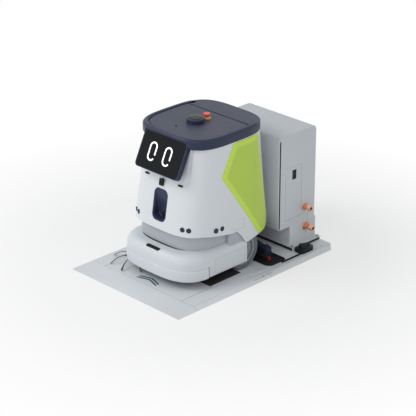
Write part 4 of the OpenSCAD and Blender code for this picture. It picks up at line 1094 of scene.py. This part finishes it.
def wheels():
    """Tyres turned with a rounded shoulder; tread blocks step the radius along the angle on both edges."""
    half = 22.0
    section = [(72, -half), (84, -half), (88.5, -half + 0.8), (90.6, -half + 2.6), (91.6, -half + 5),
               (92, -half + 7), (92, -3), (90.4, -2.2), (90.4, 2.2), (92, 3), (92, half - 7), (91.6, half - 5),
               (90.6, half - 2.6), (88.5, half - 0.8), (84, half), (72, half)]
    section = section + section[:1]
    tread = lambda angle, k: 1 - 0.017 * smoothstep(-0.2, 0.2, np.sin(48 * angle + 0.35 * (k - 7.5))) * (
        (k > 2) & (k < 13))
    for node in ("left", "right"):
        at = placed(middle("tyre_" + node), (0, 0, 0), (0, 1, 0), UP)
        tyre = lathe("tyre_" + node + ".tread", section, at, 384, tread, crease=30)
        settle(tyre, "drive_wheel_" + node[0], "tyre_grey", finish("tyre"), "tyre_" + node)
        eased("hub_" + node, finish("hub"), 0.6)


def side_brush(sizes):
    """A turned hub with tufts: each bristle leaves its arm level, droops by 34 t^2.2 and fans sideways."""
    rng = np.random.default_rng(7)
    reach, arms = 119.0, 8
    hub_at = placed(middle("side_brush") * (1, 1, 0) + (0, 0, ROBOT[2]))
    hub = lathe("h", [(0, 28), (20, 28), (25, 30), (26, 33), (26, 41), (23.5, 44.5), (14, 46), (6.05, 46),
                      (6.05, 40), (0, 40)], hub_at)
    t = np.linspace(0, 1, 9)
    paths, stems = [], []
    for a in math.radians(190) - np.arange(arms) * 2 * math.pi / arms:
        spread = rng.uniform(-1, 1, (sizes.bristles, 2))
        along = 40 + (reach - 40) * t[None] * (1 + 0.02 * spread[:, :1])
        sway = a + 0.045 * spread[:, :1] * t[None] + 0.06 * t[None] ** 2
        z = 36 - 33 * t[None] ** 2.2 + 1.0 * spread[:, 1:]
        paths.append(np.stack([along * np.cos(sway), along * np.sin(sway), z], -1))
        s = np.linspace(20, 50, 5)
        stems.append(np.stack([s * math.cos(a), s * math.sin(a), np.full(5, 35.5)], -1))
    tufts = tubes("b", hub_at(np.concatenate(paths)), np.linspace(1.0, 0.7, 9), 5)
    stem = tubes("a", hub_at(np.array(stems)), np.array([4.4, 4.3, 4.2, 4.0, 3.6]), 12)
    piece = joined("side_brush.tufts", [hub, stem, tufts])
    settle(piece, "side_brush", "bristle_black", finish("black_bristle"), "side_brush")


def roller():
    """A drum whose radius swells along ten helical rows of bristle."""
    low, high = box_mm("roller_brush")
    half = (high[0] - low[0]) / 2
    length = np.linspace(-half + 1, half - 1, 120)
    angle = np.linspace(0, 2 * math.pi, 180, endpoint=False)
    row = np.cos(10 * angle[:, None] + 5.0 * length[None] / half * 1.6)
    radius = 37.5 + 3.4 * smoothstep(-0.1, 0.35, row)
    ends = [np.full((180, 1), 6.06), np.full((180, 1), 37.0)]
    radius = np.hstack([ends[0], ends[1], radius, ends[1], ends[0]])
    place_x = np.concatenate([[-half, -half], length, [half, half]])
    y, z = radius * np.cos(angle)[:, None], radius * np.sin(angle)[:, None]
    grid = np.stack([np.repeat(place_x[None], 180, 0), y, z], -1)
    piece = surface("roller_brush.rows", placed(middle("roller_brush"))(grid), close_u=True, close_v=True, crease=40)
    settle(piece, "roller", "bristle_blue", finish("blue_bristle"), "roller_brush")


def fittings():
    """Hose connectors turned with a sunk bore and thread ridges, over a chamfered hexagon."""
    for node, flange, hex_r, hex_l, collar in (("dock_inlet_fitting", 17, 16.5, 9, 8),
                                               ("dock_drain_fitting", 20, 18, 12, 12)):
        low, high = box_mm(node)
        _, y, z = (low + high) / 2
        wall = box_mm("dock_cabinet")[1][0]
        at = placed((wall, y, z), (0, 0, 0), (0, 1, 0), UP)
        start = 3 + hex_l + collar
        thread = []
        for k in range(11):
            thread += [(12.1, start + 0.4 + 1.9 * k), (12.98, start + 1.1 + 1.9 * k), (12.98, start + 1.5 + 1.9 * k)]
        end = start + 22
        section = [(7.5, -15), (9.8, -15), (9.8, 0.1), (flange - 0.6, 0.1), (flange, 0.7), (flange, 2.4),
                   (flange - 0.8, 3), (11.5, 3), (11.5, start)] + thread + [(12.1, end - 0.4), (11.6, end),
                   (8.4, end), (7.5, end - 1), (7.5, -15)]
        body = lathe("f", section, at, 64)
        turn = np.linspace(0, 2 * math.pi, 6, endpoint=False)
        hexagon = np.stack([hex_r * np.cos(turn), hex_r * np.sin(turn)], -1)
        nut = slab("n", resampled(hexagon, 60), 2.9, 3 + hex_l, at, 1.0, 0.4)
        settle(tidy_mesh(joined(node + ".turned", [body, nut])), "station", "brass", finish("copper"), node)


def squeegee():
    """The CAD bracket, eased, with turned support rollers and a ribbed suction stub; two curved blades."""
    bracket = eased_copy("squeegee_bracket", 0.8)
    rollers = []
    for side in (-1, 1):
        for x, y, r in ((222, -40, 17), (196, -22, 13)):
            at = placed(ROBOT, (side * x, 249 + y, 0))
            section = [(0, 18), (r - 2, 18), (r, 20), (r + 0.6, 24), (r, 28), (r - 3, 30), (0, 30)]
            rollers.append(lathe("r", section, at, 40))
    at = placed(ROBOT, (0, 219, 0))
    ribs = [(17.2, 30)]
    for k in range(7):
        ribs += [(22.4, 34 + 8 * k), (24, 36 + 8 * k), (22.4, 38 + 8 * k)]
    ribs += [(22.2, 92), (17.2, 92), (17.2, 30)]
    rollers.append(lathe("r", ribs, at, 48))
    piece = joined("squeegee_bracket.arms", [bracket] + rollers)
    piece.data.set_sharp_from_angle(angle=math.radians(35))
    settle(piece, "squeegee", "rim_navy", finish("navy"), "squeegee_bracket")
    eased("squeegee_blades", finish("red_rubber"), 0.4)


def flap_and_doors():
    """Service flap with a thumb dish, and the two brush doors with a rolled edge."""
    flap = slab("port_flap.plate", rounded(68, 42, 8), -3.4, -0.4, flap_place(), 0.8, 0.3)
    cut(flap, lathe("t", [(0, -1.4), (5, -1.3), (7, -0.3), (7.2, 2), (0, 2)], shifted(flap_place(), 0, -12), 40))
    settle(flap, "service_flap", "shell_white", finish("shell"), "port_flap")
    for node, side in (("left", 1), ("right", -1)):
        low, high = box_mm("brush_door_" + node)
        mid = (low + high) / 2
        at = placed((0, mid[1], mid[2]), (side * (DECK_HALF - 3), 0, 0), (0, side, 0), UP)
        size = high - low
        door = slab("brush_door_" + node + ".plate", rounded(size[1], size[2], 6), 0, 3, at, 0.9, 0.3)
        settle(door, "brush_door_" + node[0], "deck_white", finish("deck"), "brush_door_" + node)


def station_pieces():
    """Eased copies of the station's sheet metal, in its own finishes."""
    looks = {"dock_base_plate": ("station", 0.5), "dock_mats": ("mat",), "dock_arrow_marker": ("marker",),
             "dock_plinth": ("cabinet", 0.6), "dock_seal_frame": ("rubber", 0.5),
             "dock_cabinet": ("cabinet", 0.0, 38.0), "dock_service_door": ("cabinet", 0.7),
             "dock_door_pull": ("black", 0.3), "dock_cap_chain": ("steel",), "dock_charge_head": ("black", 0.8),
             "dock_hose_block": ("black", 1.0), "dock_bolts": ("steel", 0.3)}
    for node, (look, *ease) in looks.items():
        eased(node, finish(look), *ease)


def inner_pieces():
    """Eased copies of the chassis parts that show only from below or with a door open."""
    # neck_cover takes the neck's darker grey, painted shade under the body.
    looks = {"chassis_plate": "dark_steel", "neck_cover": "neck", "lid_hinge": "dark_steel",
             "port_socket": "black", "drive_motors": "dark_steel", "caster_fork": "steel",
             "caster_wheel": "tyre", "brush_housing": "black", "clean_tank": "tank",
             "dirty_tank": "waste", "battery_pack": "black", "charge_contacts": "copper"}
    for node, look in looks.items():
        eased(node, finish(look), 0.5 if node in ("battery_pack", "charge_contacts", "brush_housing") else 0.0)


# ---- Stage ----

VIEW_TURN = 45.2
VIEW_RISE = 24.19
VIEW_AT = np.array([2.2, 13.1, 251.6])
VIEW_FAR = 7833.0
LENS = 148.1


def stage():
    """A pale floor, a soft world, three area lamps and the camera."""
    scene = bpy.context.scene
    scene.view_settings.view_transform = "Standard"
    mesh = bpy.data.meshes.new("floor")
    reach = 30.0
    mesh.from_pydata([(-reach, -reach, 0), (reach, -reach, 0), (reach, reach, 0), (-reach, reach, 0)], [],
                     [(0, 1, 2, 3)])
    floor = bpy.data.objects.new("floor", mesh)
    scene.collection.objects.link(floor)
    floor.data.materials.append(floor_material())
    world = bpy.data.worlds.new("studio")
    world.use_nodes = True
    scene.world = world
    tree = world.node_tree
    light = tree.nodes["Background"]
    light.inputs["Color"].default_value = (0.965, 0.98, 1.0, 1)
    light.inputs["Strength"].default_value = 0.5
    white = tree.nodes.new("ShaderNodeBackground")
    white.inputs["Color"].default_value = (1, 1, 1, 1)
    paths = tree.nodes.new("ShaderNodeLightPath")
    direct, glossy, through = (Value(tree, paths.outputs["Is %s Ray" % kind])
                               for kind in ("Camera", "Glossy", "Transmission"))
    seen = direct.math("MAXIMUM", direct.math("MAXIMUM", direct, glossy), through)
    mix = tree.nodes.new("ShaderNodeMixShader")
    tree.links.new(seen.socket, mix.inputs[0])
    tree.links.new(light.outputs[0], mix.inputs[1])
    tree.links.new(white.outputs[0], mix.inputs[2])
    tree.links.new(mix.outputs[0], tree.nodes["World Output"].inputs[0])
    lamp("key", (-2.2, -3.2, 3.6), 2.6, 88)
    lamp("front", (1.4, -3.6, 2.0), 2.4, 20)
    lamp("side", (3.6, 0.6, 2.4), 2.2, 12)
    turn, rise = math.radians(VIEW_TURN), math.radians(VIEW_RISE)
    away = np.array([math.cos(rise) * math.sin(turn), -math.cos(rise) * math.cos(turn), math.sin(rise)])
    data = bpy.data.cameras.new("camera")
    data.lens = LENS
    data.sensor_width = 36.0
    camera = bpy.data.objects.new("camera", data)
    camera.location = Vector((VIEW_AT + away * VIEW_FAR) * MM)
    camera.rotation_euler = Vector(-away).to_track_quat("-Z", "Y").to_euler()
    data.clip_end = 100
    scene.collection.objects.link(camera)
    scene.camera = camera


def lamp(name, place, size, power):
    """A square area lamp that points at the middle of the object."""
    data = bpy.data.lights.new(name, "AREA")
    data.size = size
    data.energy = power
    light = bpy.data.objects.new(name, data)
    light.location = place
    light.rotation_euler = (Vector((0, 0, 0.3)) - Vector(place)).to_track_quat("-Z", "Y").to_euler()
    bpy.context.scene.collection.objects.link(light)


def floor_material():
    """Pale floor that fades to plain white away from the object, for rays that look at the background."""
    f = Finish("pale_floor", Roughness=0.9, Specular_IOR_Level=0.1)
    x, y, _ = f.axes()
    away = (x * x + y * y) ** 0.5
    far = ((away - 0.75) / 0.9).clipped()
    f.link("Base Color", f.blend(f.noise(2.0), (0.93, 0.93, 0.935, 1), (0.95, 0.95, 0.955, 1)))
    glow = f.node("ShaderNodeEmission", None, {"Color": (1, 1, 1, 1), "Strength": 1.0})
    camera_ray = f.node("ShaderNodeLightPath", out="Is Camera Ray")
    glossy_ray = f.node("ShaderNodeLightPath", out="Is Glossy Ray")
    mix = f.tree.nodes.new("ShaderNodeMixShader")
    f.tree.links.new(((far * 0.45 + 0.55) * (camera_ray + glossy_ray).clipped()).socket, mix.inputs[0])
    f.tree.links.new(f.shader.outputs[0], mix.inputs[1])
    f.tree.links.new(glow.socket, mix.inputs[2])
    f.tree.links.new(mix.outputs[0], f.tree.nodes["Material Output"].inputs[0])
    return f.material


# ---- Operators and panel ----

class CLEANER_OT_station(bpy.types.Operator):
    """Plate, cabinet, door, mats and fittings of the service station"""
    bl_idname = "cleaner.station"
    bl_label = "Service station"

    def execute(self, context):
        station_pieces()
        fittings()
        return {"FINISHED"}


class CLEANER_OT_body(bpy.types.Operator):
    """Body shell, raised side panels, flap and deck doors"""
    bl_idname = "cleaner.body"
    bl_label = "Body"

    def execute(self, context):
        sizes = context.scene.cleaner_sizes
        body_shell(sizes)
        side_panels(sizes)
        flap_and_doors()
        return {"FINISHED"}


class CLEANER_OT_deck(bpy.types.Operator):
    """Lower deck and bumper"""
    bl_idname = "cleaner.deck"
    bl_label = "Deck and bumper"

    def execute(self, context):
        lower_deck()
        fenders()
        front_bumper()
        return {"FINISHED"}


class CLEANER_OT_top(bpy.types.Operator):
    """Rim, top panel, rear lid and the controls on top"""
    bl_idname = "cleaner.top"
    bl_label = "Top"

    def execute(self, context):
        sizes = context.scene.cleaner_sizes
        top_rim()
        top_panel(sizes)
        rear_lid()
        top_controls()
        return {"FINISHED"}


class CLEANER_OT_face(bpy.types.Operator):
    """Display, camera, lamps, recess and distance sensors"""
    bl_idname = "cleaner.face"
    bl_label = "Face and sensors"

    def execute(self, context):
        display()
        sensor_recess()
        small_front_parts()
        sonar_sensors()
        return {"FINISHED"}


class CLEANER_OT_running_gear(bpy.types.Operator):
    """Wheels, brushes, squeegee and the parts inside"""
    bl_idname = "cleaner.running_gear"
    bl_label = "Running gear"

    def execute(self, context):
        sizes = context.scene.cleaner_sizes
        wheels()
        side_brush(sizes)
        roller()
        squeegee()
        inner_pieces()
        return {"FINISHED"}


class CLEANER_OT_stage(bpy.types.Operator):
    """Floor, lamps, world and camera"""
    bl_idname = "cleaner.stage"
    bl_label = "Stage"

    def execute(self, context):
        stage()
        return {"FINISHED"}


STEPS = (CLEANER_OT_stage, CLEANER_OT_station, CLEANER_OT_body, CLEANER_OT_deck, CLEANER_OT_top,
         CLEANER_OT_face, CLEANER_OT_running_gear)


class CLEANER_PT_panel(bpy.types.Panel):
    """Buttons and settings of the cleaner"""
    bl_idname = "CLEANER_PT_panel"
    bl_label = "Floor Cleaner"
    bl_space_type = "VIEW_3D"
    bl_region_type = "UI"
    bl_category = "Cleaner"

    def draw(self, context):
        column = self.layout.column()
        for group in (context.scene.cleaner_sizes, context.scene.cleaner_finish):
            for name in group.__annotations__:
                column.prop(group, name)
        for step in STEPS:
            column.operator(step.bl_idname)


CLASSES = (CleanerSizes, CleanerFinish, *STEPS, CLEANER_PT_panel)


def register():
    for cls in CLASSES:
        bpy.utils.register_class(cls)
    bpy.types.Scene.cleaner_sizes = bpy.props.PointerProperty(type=CleanerSizes)
    bpy.types.Scene.cleaner_finish = bpy.props.PointerProperty(type=CleanerFinish)


def unregister():
    del bpy.types.Scene.cleaner_finish
    del bpy.types.Scene.cleaner_sizes
    for cls in reversed(CLASSES):
        bpy.utils.unregister_class(cls)


def main():
    register()
    for step in STEPS:
        group, name = step.bl_idname.split(".")
        getattr(getattr(bpy.ops, group), name)()


if __name__ == "__main__":
    main()
